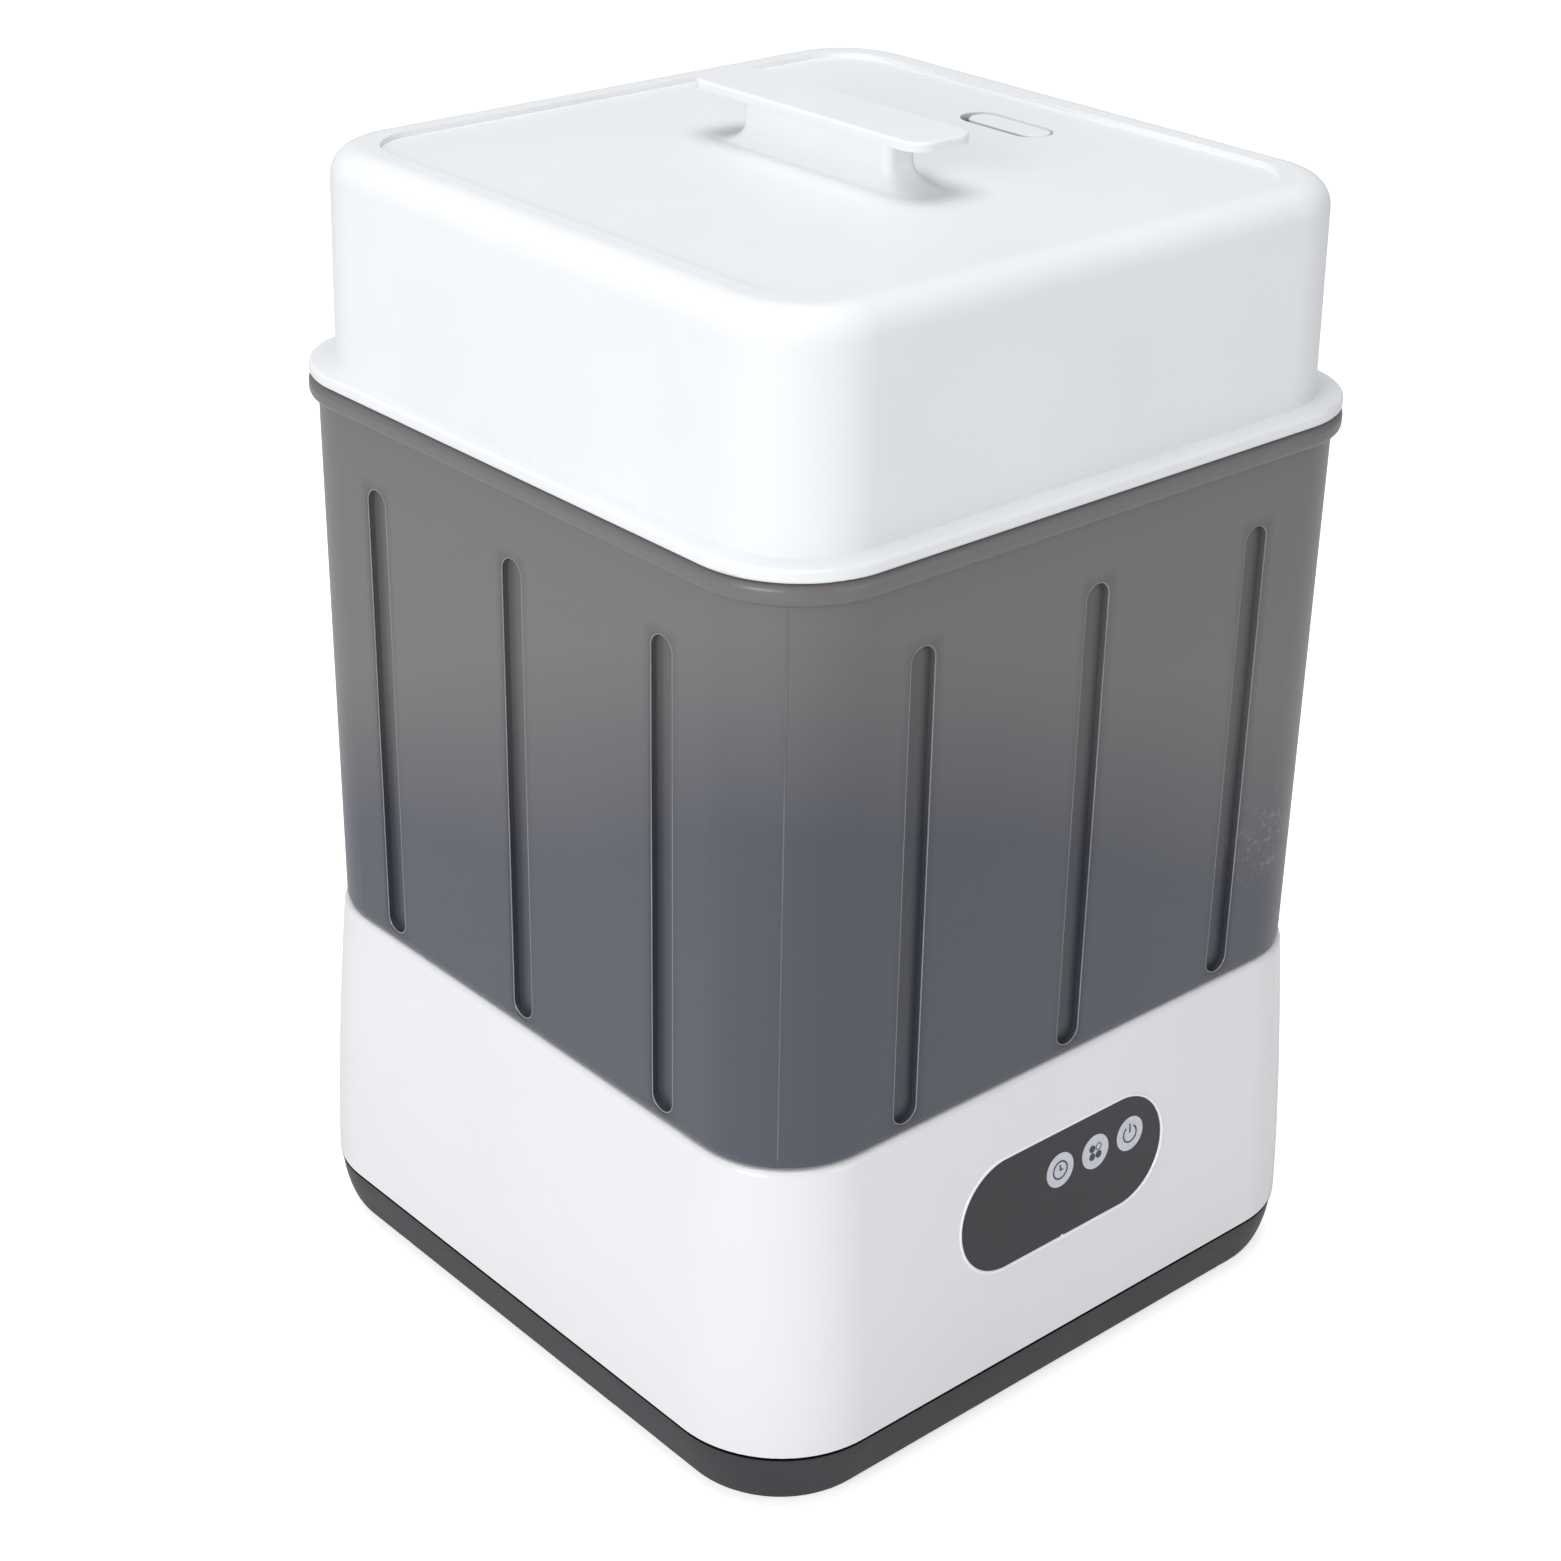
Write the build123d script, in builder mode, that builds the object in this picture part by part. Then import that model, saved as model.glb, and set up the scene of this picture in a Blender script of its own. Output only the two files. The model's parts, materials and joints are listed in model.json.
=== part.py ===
"""Electric bottle sterilizer and dryer: flared base, smoked chamber, tall lid. Millimetres, +Z up."""
from build123d import *
from math import atan, cos, radians, sin, sqrt
import os

os.makedirs("parts", exist_ok=True)

# Fits shared by the whole machine
running_gap = 0.3       # between pieces that lift off or move past each other
seat_gap = 0.1          # between pieces fixed in each other
screw_radius = 1.5
screw_head_radius = 3.0
screw_head_height = 1.8

# Outer form, measured from the middle of the footprint
corner_centre = 87.5    # centres of the corner arcs that base and chamber share
foot_drop = 1.5
seam_z = 23.0           # joint of the bottom cover and the housing
housing_height = 98.0
base_bottom_half = 126.0
base_top_half = 119.5
flare_power = 1.4       # 1 would be a straight slope
housing_wall = 2.6
deck_edge_radius = 2.0

# Bottom cover
cover_gap = 0.8         # shadow line under the housing
cover_inset = 8.6       # how far the cover draws in at its foot
cover_wall = 2.4
cover_floor = 2.5
spigot_height = 6.0
foot_radius = 9.0
foot_place = 92.0
foot_sink = 1.2
post_place = 96.0
post_radius = 5.0
post_foot_height = 6.0

# Chamber
chamber_half = 118.5
chamber_wall = 2.4
chamber_height = 183.2
chamber_opening_half = 100.0
chamber_bottom_radius = 3.0
rim_height = 6.6
rim_overhang = 2.8
groove_width = 9.5
groove_depth = 2.6
groove_pitch = 68.0
groove_foot = 3.5       # above the chamber's underside
groove_length = 153.0
groove_rim_radius = 0.8

# Lid
lid_gap = 0.3
lid_flange_half = 121.0
lid_flange_thickness = 4.0
lid_wall_half = 113.8
lid_top_half = 112.8
lid_corner_radius = 29.0
lid_height = 69.5       # flange underside to the border of the top
lid_wall = 2.4
lid_edge_radius = 9.0
lid_panel_half = 99.0
lid_panel_radius = 18.0
lid_panel_sink = 1.5
skirt_depth = 5.5
skirt_wall = 2.0

# Lid handle
handle_length = 101.0
handle_width = 24.0
handle_plate = 2.8
handle_rise = 17.5
web_length = 64.0
web_width = 12.0
handle_foot_length = 95.0
handle_foot_width = 19.0
handle_foot_height = 6.5
handle_screw_pitch = 44.0

# Steam vent in the lid
vent_x = 73.0
vent_y = -1.5
vent_length = 35.0
vent_width = 14.0
vent_gap = 3.2          # steam gap on the handle's side of the insert
vent_end_gap = 1.6
vent_flange = 4.5
vent_flange_thickness = 1.8

# Control panel
panel_x = -2.0
panel_z = 77.0
panel_length = 90.0
panel_height = 39.5
lens_thickness = 1.3
lens_sink = 0.3
lens_ledge = 4.0
touch_radius = 6.0
touch_first_x = -1.5    # on the panel, first of three
touch_pitch = 15.8
touch_y = 5.0
touch_inlay = 0.4
board_thickness = 1.6
board_gap = 6.4         # lens to control board
control_board_length = 108.0
control_board_height = 30.0
standoff_x = 48.0
standoff_y = 9.0
standoff_radius = 3.5
display_length = 24.0
display_height = 14.0
display_x = -25.0

# Deck and steam plate
deck_thickness = 2.6
platform_half = 99.5
platform_height = 4.0
platform_radius = 14.0
dish_radius = 66.0
dish_depth = 14.0
plate_thickness = 1.5
plate_lip = 8.0
dish_hole_gap = 1.5
gasket_thickness = 1.5
spreader_radius = 52.0
spreader_thickness = 10.0
element_ring_radius = 40.0
element_radius = 3.5
terminal_radius = 2.0
terminal_length = 15.0
terminal_angle = 20.0
bar_length = 172.0
bar_width = 24.0
bar_thickness = 1.5
bar_screw_x = 80.0
thermostat_radius = 8.0
thermostat_height = 9.0

# Drying air: duct, heater and fan
duct_x = -72.0
duct_y = 70.0
duct_side = 36.0
duct_wall = 2.0
duct_foot_z = 84.0
outlet_radius = 15.0
outlet_cap_radius = 19.0
outlet_cap_height = 14.0
fan_radius = 36.0
fan_z = 47.0
fan_depth = 36.0
impeller_radius = 29.0
impeller_width = 26.0
blade_count = 24
blade_thickness = 1.0
blade_length = 7.0
shaft_radius = 1.6
motor_radius = 17.0
motor_length = 24.0
intake_radius = 22.0
heater_block_height = 14.0

# Filter door and mains inlet in the back wall
filter_x = -50.0
filter_z = 66.0
filter_width = 64.0
filter_height = 48.0
filter_depth = 9.0
door_thickness = 2.0
door_ledge = 3.0
slat_count = 7
slat_gap = 3.0
inlet_x = 62.0
inlet_z = 56.0
inlet_width = 28.0
inlet_height = 20.5
inlet_depth = 24.0
inlet_flange_length = 50.0
inlet_flange_height = 24.0
inlet_flange_thickness = 2.0
inlet_head_sink = 1.2
inlet_pad = 2.4         # extra wall behind the sunk flange
inlet_screw_pitch = 40.0
inlet_cavity_depth = 19.0
inlet_pin_length = 12.0

# Power board on the bottom cover
power_x = 52.0
power_y = -10.0
power_length = 84.0
power_width = 100.0
power_lift = 8.0

# Racks
rack_half = 111.0
rack_radius = 24.0
rack_plate = 2.5
lower_rack_lift = 23.0  # plate above the chamber's ledge
rack_leg_place = 106.0
rack_leg_offset = 52.0
rack_leg_length = 20.0
rack_leg_thickness = 5.0
peg_pitch = 62.0
peg_radius = 6.0
peg_height = 58.0
peg_taper = 1.5         # degrees
peg_tip_radius = 2.5
rack_slot_length = 40.0
rack_slot_width = 4.0
rack_slot_pitch = 12.0
tray_depth = 25.0
tray_flange = 2.0
tray_wall = 2.0
tray_half = 108.0
tray_radius = 22.0

# Heights worked out from the sizes above
cover_top_z = seam_z - cover_gap
cover_floor_z = foot_drop + cover_floor
deck_z = seam_z + housing_height
deck_under_z = deck_z - deck_thickness
platform_z = deck_z + platform_height
rim_top_z = deck_z + chamber_height
rim_foot_z = rim_top_z - rim_height
ledge_z = deck_z + chamber_wall
groove_foot_z = deck_z + groove_foot
groove_top_z = groove_foot_z + groove_length
lid_foot_z = rim_top_z + lid_gap
lid_top_z = lid_foot_z + lid_height
lid_panel_z = lid_top_z - lid_panel_sink
handle_top_z = lid_panel_z + handle_rise
lip_top_z = platform_z + gasket_thickness + plate_thickness
dish_under_z = lip_top_z - dish_depth
spreader_under_z = dish_under_z - spreader_thickness
flare = base_bottom_half - base_top_half
post_foot_z = cover_floor_z + post_foot_height


def wall_half(z):
    """Half width of the flared housing at height z."""
    rise = (z - seam_z) / housing_height
    return base_bottom_half - flare * rise**flare_power


def wall_plane(side, x, z):
    """Plane on the housing's outer wall, facing out: side -1 is the front, 1 the back."""
    rise = (z - seam_z) / housing_height
    tilt = atan(flare * flare_power * rise ** (flare_power - 1) / housing_height)
    return Plane(origin=(x, side * wall_half(z), z), x_dir=(-side, 0, 0), z_dir=(0, side * cos(tilt), sin(tilt)))


def rounded_square(z, half, radius):
    """A square section with round corners."""
    with BuildSketch(Plane.XY.offset(z)) as section:
        RectangleRounded(2 * half, 2 * half, radius)
    return section.sketch


def shared_corner(z, half):
    """A section whose corner arcs keep the centres that base and chamber share."""
    return rounded_square(z, half, half - corner_centre)


def finish(part, label):
    part.label = label
    export_step(part, f"parts/{label}.step")
    print(label, round(part.volume / 1000, 2), "cm3", len(part.solids()), "solid(s)")


front_panel = wall_plane(-1, panel_x, panel_z)
filter_panel = wall_plane(1, filter_x, filter_z)
inlet_panel = wall_plane(1, inlet_x, inlet_z)
touch_places = [(touch_first_x + touch_pitch * i, touch_y) for i in range(3)]
standoff_places = [(x, y) for x in (-standoff_x, standoff_x) for y in (-standoff_y, standoff_y)]
board_face = lens_sink + lens_thickness + board_gap
post_places = [(x, y) for x in (-post_place, post_place) for y in (-post_place, post_place)]
foot_places = [(foot_place, 0), (-foot_place, 0), (0, foot_place), (0, -foot_place)]

# Base housing: white flared shell whose deck carries the plate, the chamber and the air outlet
level_count = 5
level_heights = [seam_z + housing_height * i / (level_count - 1) for i in range(level_count)]
housing_outer = [shared_corner(z, wall_half(z)) for z in level_heights]
housing_inner = [shared_corner(z, wall_half(z) - housing_wall) for z in level_heights[:-1]]
housing_inner.append(shared_corner(deck_under_z, wall_half(deck_under_z) - housing_wall))
plate_hole_radius = dish_radius + plate_thickness + dish_hole_gap
filter_box_depth = door_thickness + filter_depth + door_ledge
panel_ledge_depth = lens_sink + lens_thickness

with BuildPart() as base_housing:
    loft(housing_outer)
    fillet(base_housing.faces().sort_by(Axis.Z)[-1].edges(), deck_edge_radius)
    loft(housing_inner, mode=Mode.SUBTRACT)
    with BuildSketch(Plane.XY.offset(deck_z - deck_thickness / 2)):
        RectangleRounded(2 * platform_half, 2 * platform_half, platform_radius)
    extrude(amount=platform_height + deck_thickness / 2)
    with BuildSketch(Plane.XY.offset(deck_under_z)):
        with Locations((bar_screw_x, 0), (-bar_screw_x, 0)):
            Circle(post_radius)
    extrude(amount=-(deck_under_z - spreader_under_z))
    with BuildSketch(Plane.XY.offset(post_foot_z)):
        with Locations(*post_places):
            Circle(post_radius)
    extrude(amount=deck_under_z - post_foot_z + deck_thickness / 2)
    with BuildSketch(Plane.XY.offset(post_foot_z)):
        with Locations(*post_places):
            Circle(screw_radius + seat_gap)
    extrude(amount=2 * post_foot_height, mode=Mode.SUBTRACT)
    with BuildSketch(Plane.XY.offset(spreader_under_z)):
        with Locations((bar_screw_x, 0), (-bar_screw_x, 0)):
            Circle(screw_radius + seat_gap)
    extrude(amount=spreader_thickness, mode=Mode.SUBTRACT)
    with BuildSketch(Plane.XY.offset(platform_z)):
        Circle(plate_hole_radius)
    extrude(amount=-(platform_height + deck_thickness), mode=Mode.SUBTRACT)
    with BuildSketch(Plane.XY.offset(platform_z)):
        with Locations((duct_x, duct_y)):
            Circle(outlet_radius)
    extrude(amount=-(platform_height + deck_thickness), mode=Mode.SUBTRACT)
    # Panel pocket, its window and the standoffs behind it
    with BuildSketch(front_panel.offset(-board_face)):
        with Locations(*standoff_places):
            Circle(standoff_radius)
    extrude(amount=board_face - housing_wall / 2)
    with BuildSketch(front_panel.offset(-board_face)):
        with Locations(*standoff_places):
            Circle(screw_radius + seat_gap)
    extrude(amount=board_gap / 2 + 1, mode=Mode.SUBTRACT)
    with BuildSketch(front_panel.offset(2)):
        SlotOverall(panel_length, panel_height)
    extrude(amount=-(2 + panel_ledge_depth), mode=Mode.SUBTRACT)
    with BuildSketch(front_panel.offset(2)):
        SlotOverall(panel_length - 2 * lens_ledge, panel_height - 2 * lens_ledge)
    extrude(amount=-(2 + 2 * housing_wall), mode=Mode.SUBTRACT)
    # Box for the air filter behind the back wall
    with BuildSketch(filter_panel.offset(-filter_box_depth)):
        Rectangle(filter_width + 4, filter_height + 4)
    extrude(amount=filter_box_depth - housing_wall / 2)
    with BuildSketch(filter_panel.offset(2)):
        Rectangle(filter_width, filter_height)
    extrude(amount=-(2 + door_thickness + filter_depth), mode=Mode.SUBTRACT)
    with BuildSketch(filter_panel.offset(2)):
        Rectangle(filter_width - 2 * door_ledge, filter_height - 2 * door_ledge)
    extrude(amount=-(4 + filter_box_depth), mode=Mode.SUBTRACT)
    # Mains inlet opening with a pad behind it and a sunk land for its flange
    with BuildSketch(inlet_panel.offset(-housing_wall - inlet_pad)):
        Rectangle(inlet_flange_length + 6, inlet_flange_height + 6)
    extrude(amount=inlet_pad + housing_wall / 2)
    with BuildSketch(inlet_panel.offset(2)):
        RectangleRounded(inlet_flange_length + 2 * seat_gap, inlet_flange_height + 2 * seat_gap, 3)
    extrude(amount=-(2 + inlet_flange_thickness), mode=Mode.SUBTRACT)
    with BuildSketch(inlet_panel.offset(2)):
        Rectangle(inlet_width + 2 * seat_gap, inlet_height + 2 * seat_gap)
        with Locations((inlet_screw_pitch / 2, 0), (-inlet_screw_pitch / 2, 0)):
            Circle(screw_radius + seat_gap)
    extrude(amount=-(2 + 3 * housing_wall), mode=Mode.SUBTRACT)
finish(base_housing.part, "base_housing")


def cover_section(z, extra=0.0):
    """Cover section at height z: the wall draws in towards the foot along a quarter of an ellipse."""
    drop = (cover_top_z - z) / (cover_top_z - foot_drop)
    inset = cover_gap + cover_inset * (1 - sqrt(max(0.0, 1 - drop**2))) + extra
    return shared_corner(z, base_bottom_half - inset)


# Bottom cover: dark drawn-in pan with a spigot inside the housing
cover_drops = (0.0, 0.45, 0.75, 0.92, 1.0)
cover_levels = [cover_top_z - (cover_top_z - foot_drop) * drop for drop in cover_drops]
cover_outer = [cover_section(z) for z in cover_levels]
inner_levels = [z for z in cover_levels if z > cover_floor_z] + [cover_floor_z]
cover_inner = [cover_section(z, cover_wall) for z in inner_levels]
spigot_half = wall_half(seam_z + spigot_height) - housing_wall - running_gap
power_standoffs = [(x, y) for x in (-power_length / 2 + 6, power_length / 2 - 6)
                   for y in (-power_width / 2 + 6, power_width / 2 - 6)]

with BuildPart() as bottom_cover:
    loft(cover_outer)
    loft(cover_inner, mode=Mode.SUBTRACT)
    with BuildSketch(Plane.XY.offset(cover_top_z - 2 * cover_wall)):
        RectangleRounded(2 * spigot_half, 2 * spigot_half, spigot_half - corner_centre)
        RectangleRounded(2 * (spigot_half - cover_wall), 2 * (spigot_half - cover_wall),
                         spigot_half - cover_wall - corner_centre, mode=Mode.SUBTRACT)
    extrude(amount=2 * cover_wall + cover_gap + spigot_height)
    with BuildSketch(Plane.XY.offset(cover_floor_z)):
        with Locations(*post_places):
            Circle(post_radius)
    extrude(amount=post_foot_height)
    with BuildSketch(Plane.XY.offset(cover_floor_z)):
        with Locations((power_x, power_y)):
            with Locations(*power_standoffs):
                Circle(standoff_radius)
    extrude(amount=power_lift)
    with BuildSketch(Plane.XY.offset(foot_drop)):
        with Locations(*post_places):
            Circle(screw_radius + seat_gap)
    extrude(amount=cover_floor + post_foot_height, mode=Mode.SUBTRACT)
    with BuildSketch(Plane.XY.offset(foot_drop)):
        with Locations(*post_places):
            Circle(screw_head_radius + running_gap)
    extrude(amount=2 * screw_head_height, mode=Mode.SUBTRACT)
    with BuildSketch(Plane.XY.offset(cover_floor_z + power_lift)):
        with Locations((power_x, power_y)):
            with Locations(*power_standoffs):
                Circle(screw_radius + seat_gap)
    extrude(amount=-power_lift, mode=Mode.SUBTRACT)
    with BuildSketch(Plane.XY.offset(foot_drop)):
        with Locations(*foot_places):
            Circle(foot_radius + seat_gap)
    extrude(amount=foot_sink, mode=Mode.SUBTRACT)
    with BuildSketch(Plane.XY.offset(foot_drop)):
        with Locations((0, -48)):
            with GridLocations(7, 1, 7, 1):
                SlotOverall(28, 3, rotation=90)
    extrude(amount=cover_floor, mode=Mode.SUBTRACT)
finish(bottom_cover.part, "bottom_cover")

with BuildPart() as rubber_feet:
    with BuildSketch(Plane.XY):
        with Locations(*foot_places):
            Circle(foot_radius)
    extrude(amount=foot_drop + foot_sink)
    chamfer(rubber_feet.faces().group_by(Axis.Z)[0].edges(), 0.6)
finish(rubber_feet.part, "rubber_feet")


def screw_group(places, plane, length, label):
    """Pan-head screws whose shanks run down from the plane, with heads that stand above it."""
    with BuildPart() as screws:
        with BuildSketch(plane):
            with Locations(*places):
                Circle(screw_radius)
        extrude(amount=-length)
        with BuildSketch(plane):
            with Locations(*places):
                Circle(screw_head_radius)
        extrude(amount=screw_head_height)
        with BuildSketch(plane.offset(screw_head_height)):
            with Locations(*places):
                Rectangle(3.2, 0.8)
                Rectangle(0.8, 3.2)
        extrude(amount=-screw_head_height / 2, mode=Mode.SUBTRACT)
    finish(screws.part, label)


cover_screw_plane = Plane(origin=(0, 0, foot_drop + 2 * screw_head_height), x_dir=(1, 0, 0), z_dir=(0, 0, -1))
screw_group([(x, -y) for x, y in post_places], cover_screw_plane, 14, "cover_screws")

# Steam plate: pressed dish, seal, cast heat spreader with its heating tube, and the bar that holds it
with BuildPart() as heating_plate:
    with BuildSketch(Plane.XZ):
        with BuildLine():
            Polyline((0, dish_under_z), (dish_radius + plate_thickness, dish_under_z),
                     (dish_radius + plate_thickness, lip_top_z - plate_thickness),
                     (dish_radius + plate_lip, lip_top_z - plate_thickness), (dish_radius + plate_lip, lip_top_z),
                     (dish_radius, lip_top_z), (dish_radius, dish_under_z + plate_thickness),
                     (0, dish_under_z + plate_thickness), close=True)
        make_face()
    revolve(axis=Axis.Z)
    fillet(heating_plate.edges().filter_by(GeomType.CIRCLE).filter_by(
        lambda e: abs(e.radius - dish_radius) < 0.01 and e.center().Z < dish_under_z + 2), 4)
finish(heating_plate.part, "heating_plate")

with BuildPart() as plate_gasket:
    with BuildSketch(Plane.XY.offset(platform_z)):
        Circle(dish_radius + plate_lip + 1)
        Circle(dish_radius + plate_thickness + seat_gap, mode=Mode.SUBTRACT)
    extrude(amount=gasket_thickness)
finish(plate_gasket.part, "plate_gasket")

element_z = spreader_under_z + spreader_thickness / 2
terminal_places = [(element_ring_radius * sin(a), -element_ring_radius * cos(a))
                   for a in (radians(terminal_angle), -radians(terminal_angle))]
with BuildPart() as heat_spreader:
    with BuildSketch(Plane.XY.offset(spreader_under_z)):
        Circle(spreader_radius)
    extrude(amount=spreader_thickness)
    with BuildSketch(Plane.XZ):
        with Locations((element_ring_radius, element_z)):
            Circle(element_radius + seat_gap)
    revolve(axis=Axis.Z, mode=Mode.SUBTRACT)
    with BuildSketch(Plane.XY.offset(spreader_under_z)):
        with Locations(*terminal_places):
            Circle(terminal_radius + seat_gap)
    extrude(amount=spreader_thickness / 2, mode=Mode.SUBTRACT)
finish(heat_spreader.part, "heat_spreader")

with BuildPart() as heater_element:
    with BuildSketch(Plane.XZ.rotated((0, 0, -90 + terminal_angle))):
        with Locations((element_ring_radius, element_z)):
            Circle(element_radius)
    revolve(axis=Axis.Z, revolution_arc=360 - 2 * terminal_angle)
    with BuildSketch(Plane.XY.offset(element_z)):
        with Locations(*terminal_places):
            Circle(terminal_radius)
    extrude(amount=-terminal_length)
finish(heater_element.part, "heater_element")

bar_z = spreader_under_z - bar_thickness
with BuildPart() as plate_bar:
    with BuildSketch(Plane.XY.offset(bar_z)):
        SlotOverall(bar_length, bar_width)
        Circle(thermostat_radius + 1, mode=Mode.SUBTRACT)
        with Locations((bar_screw_x, 0), (-bar_screw_x, 0)):
            Circle(screw_radius + seat_gap, mode=Mode.SUBTRACT)
    extrude(amount=bar_thickness)
finish(plate_bar.part, "plate_bar")
bar_screw_plane = Plane(origin=(0, 0, bar_z), x_dir=(1, 0, 0), z_dir=(0, 0, -1))
screw_group([(bar_screw_x, 0), (-bar_screw_x, 0)], bar_screw_plane, 8, "bar_screws")

with BuildPart() as thermostat:
    with BuildSketch(Plane.XY.offset(spreader_under_z)):
        Circle(thermostat_radius)
    extrude(amount=-thermostat_height)
    with BuildSketch(Plane.XY.offset(spreader_under_z - thermostat_height)):
        with Locations((0, 4), (0, -4)):
            Rectangle(6.3, 0.8)
    extrude(amount=-7)
finish(thermostat.part, "thermostat")

with BuildPart() as thermal_fuse:
    with BuildSketch(Plane.YZ.offset(-8)):
        with Locations((26, spreader_under_z - 2.5)):
            Circle(2.2)
    extrude(amount=16)
    with BuildSketch(Plane.XY.offset(spreader_under_z)):
        with Locations((0, 26)):
            Rectangle(6, 14)
    extrude(amount=-1)
finish(thermal_fuse.part, "thermal_fuse")

with BuildPart() as temperature_sensor:
    with BuildSketch(Plane.XY.offset(spreader_under_z)):
        with Locations((0, -27)):
            Circle(5)
    extrude(amount=-2)
    with BuildSketch(Plane.XY.offset(spreader_under_z - 2)):
        with Locations((0, -27)):
            Circle(2.6)
    extrude(amount=-8)
finish(temperature_sensor.part, "temperature_sensor")

# Drying air: centrifugal fan, duct, finned heater and the capped outlet on the deck
fan_front_y = duct_y - fan_depth / 2
fan_front = Plane(origin=(0, fan_front_y, 0), x_dir=(1, 0, 0), z_dir=(0, -1, 0))
fan_plate_thickness = 2.0
fan_left = duct_x - duct_side / 2


def scroll(inset):
    """Scroll outline: a round chamber with a straight outlet going up on its left side."""
    with BuildSketch(fan_front) as outline:
        with Locations((fan_left + fan_radius, fan_z)):
            Circle(fan_radius - inset)
        with BuildLine():
            Polyline((fan_left + inset, fan_z), (fan_left + inset, duct_foot_z),
                     (fan_left + duct_side - inset, duct_foot_z), (fan_left + duct_side - inset, fan_z), close=True)
        make_face()
    return outline.sketch


fan_axis_x = fan_left + fan_radius
with BuildPart() as fan_housing:
    extrude(scroll(0), amount=-fan_depth)
    extrude(scroll(duct_wall), amount=-(fan_depth - duct_wall), mode=Mode.SUBTRACT)
    with BuildSketch(fan_front.offset(-fan_depth)):
        with Locations((fan_axis_x, fan_z)):
            Circle(intake_radius)
    extrude(amount=duct_wall, mode=Mode.SUBTRACT)
    with BuildSketch(Plane.XY.offset(duct_foot_z)):
        with Locations((duct_x, duct_y + fan_plate_thickness / 2)):
            Rectangle(duct_side - 2 * duct_wall, fan_depth - 2 * duct_wall)
    extrude(amount=-2 * duct_wall, mode=Mode.SUBTRACT)
    with BuildSketch(Plane.XY.offset(cover_floor_z)):
        with Locations((fan_axis_x, duct_y)):
            with GridLocations(1, fan_depth - 10, 1, 2):
                Rectangle(30, 8)
    extrude(amount=fan_z - fan_radius - cover_floor_z + 3.5)
    with BuildSketch(fan_front):
        with Locations((fan_axis_x, fan_z)):
            Circle(fan_radius - duct_wall)
    extrude(amount=-(fan_depth - duct_wall), mode=Mode.SUBTRACT)
finish(fan_housing.part, "fan_housing")

with BuildPart() as fan_plate:
    extrude(scroll(0), amount=fan_plate_thickness)
    with BuildSketch(fan_front):
        with Locations((fan_axis_x, fan_z)):
            Circle(shaft_radius + 1)
    extrude(amount=fan_plate_thickness, mode=Mode.SUBTRACT)
    with BuildSketch(fan_front.offset(fan_plate_thickness)):
        with Locations((fan_axis_x, fan_z)):
            with PolarLocations(fan_radius - 6, 3, 30):
                Circle(screw_radius + seat_gap)
    extrude(amount=-fan_plate_thickness, mode=Mode.SUBTRACT)
finish(fan_plate.part, "fan_plate")

motor_front_y = fan_front_y - fan_plate_thickness
with BuildPart() as fan_motor:
    with BuildSketch(fan_front.offset(fan_plate_thickness)):
        with Locations((fan_axis_x, fan_z)):
            Circle(motor_radius)
            Circle(shaft_radius + 0.6, mode=Mode.SUBTRACT)
    extrude(amount=motor_length)
    with BuildSketch(fan_front.offset(fan_plate_thickness)):
        with Locations((fan_axis_x, fan_z)):
            Circle(fan_radius - 2)
            Circle(motor_radius - 1, mode=Mode.SUBTRACT)
            with PolarLocations(fan_radius - 6, 3, 30):
                Circle(screw_radius + seat_gap, mode=Mode.SUBTRACT)
    extrude(amount=1.5)
    fillet(fan_motor.faces().sort_by(Axis.Y)[0].outer_wire().edges(), 2)
finish(fan_motor.part, "fan_motor")
motor_screw_plane = Plane(origin=(fan_axis_x, fan_front_y - fan_plate_thickness - 1.5, fan_z),
                          x_dir=(1, 0, 0), z_dir=(0, -1, 0))
motor_screw_places = [((fan_radius - 6) * cos(radians(a)), (fan_radius - 6) * sin(radians(a)))
                      for a in (30, 150, 270)]
screw_group(motor_screw_places, motor_screw_plane, fan_plate_thickness + 1.5, "motor_screws")

impeller_back = fan_front.offset(-(fan_depth - impeller_width) / 2)
with BuildPart() as fan_impeller:
    with BuildSketch(impeller_back):
        with Locations((fan_axis_x, fan_z)):
            Circle(impeller_radius)
    extrude(amount=-1.6)
    with BuildSketch(impeller_back):
        with Locations((fan_axis_x, fan_z)):
            Circle(7)
    extrude(amount=-14)
    with BuildSketch(impeller_back.offset(-1)):
        with Locations((fan_axis_x, fan_z)):
            with PolarLocations(impeller_radius - blade_length / 2, blade_count):
                Rectangle(blade_length, blade_thickness, rotation=25)
    extrude(amount=-(impeller_width - 2))
    with BuildSketch(impeller_back.offset(-(impeller_width - 1.6))):
        with Locations((fan_axis_x, fan_z)):
            Circle(impeller_radius)
            Circle(impeller_radius - blade_length * 0.6, mode=Mode.SUBTRACT)
    extrude(amount=-1.6)
    with BuildSketch(impeller_back.offset(-10)):
        with Locations((fan_axis_x, fan_z)):
            Circle(shaft_radius)
    extrude(amount=(fan_depth - impeller_width) / 2 + 10 + fan_plate_thickness + 8)
finish(fan_impeller.part, "fan_impeller")

with BuildPart() as air_duct:
    with BuildSketch(Plane.XY.offset(duct_foot_z)):
        with Locations((duct_x, duct_y)):
            Rectangle(duct_side, fan_depth)
            Rectangle(duct_side - 2 * duct_wall, fan_depth - 2 * duct_wall, mode=Mode.SUBTRACT)
    extrude(amount=deck_under_z - duct_foot_z)
finish(air_duct.part, "air_duct")

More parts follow.
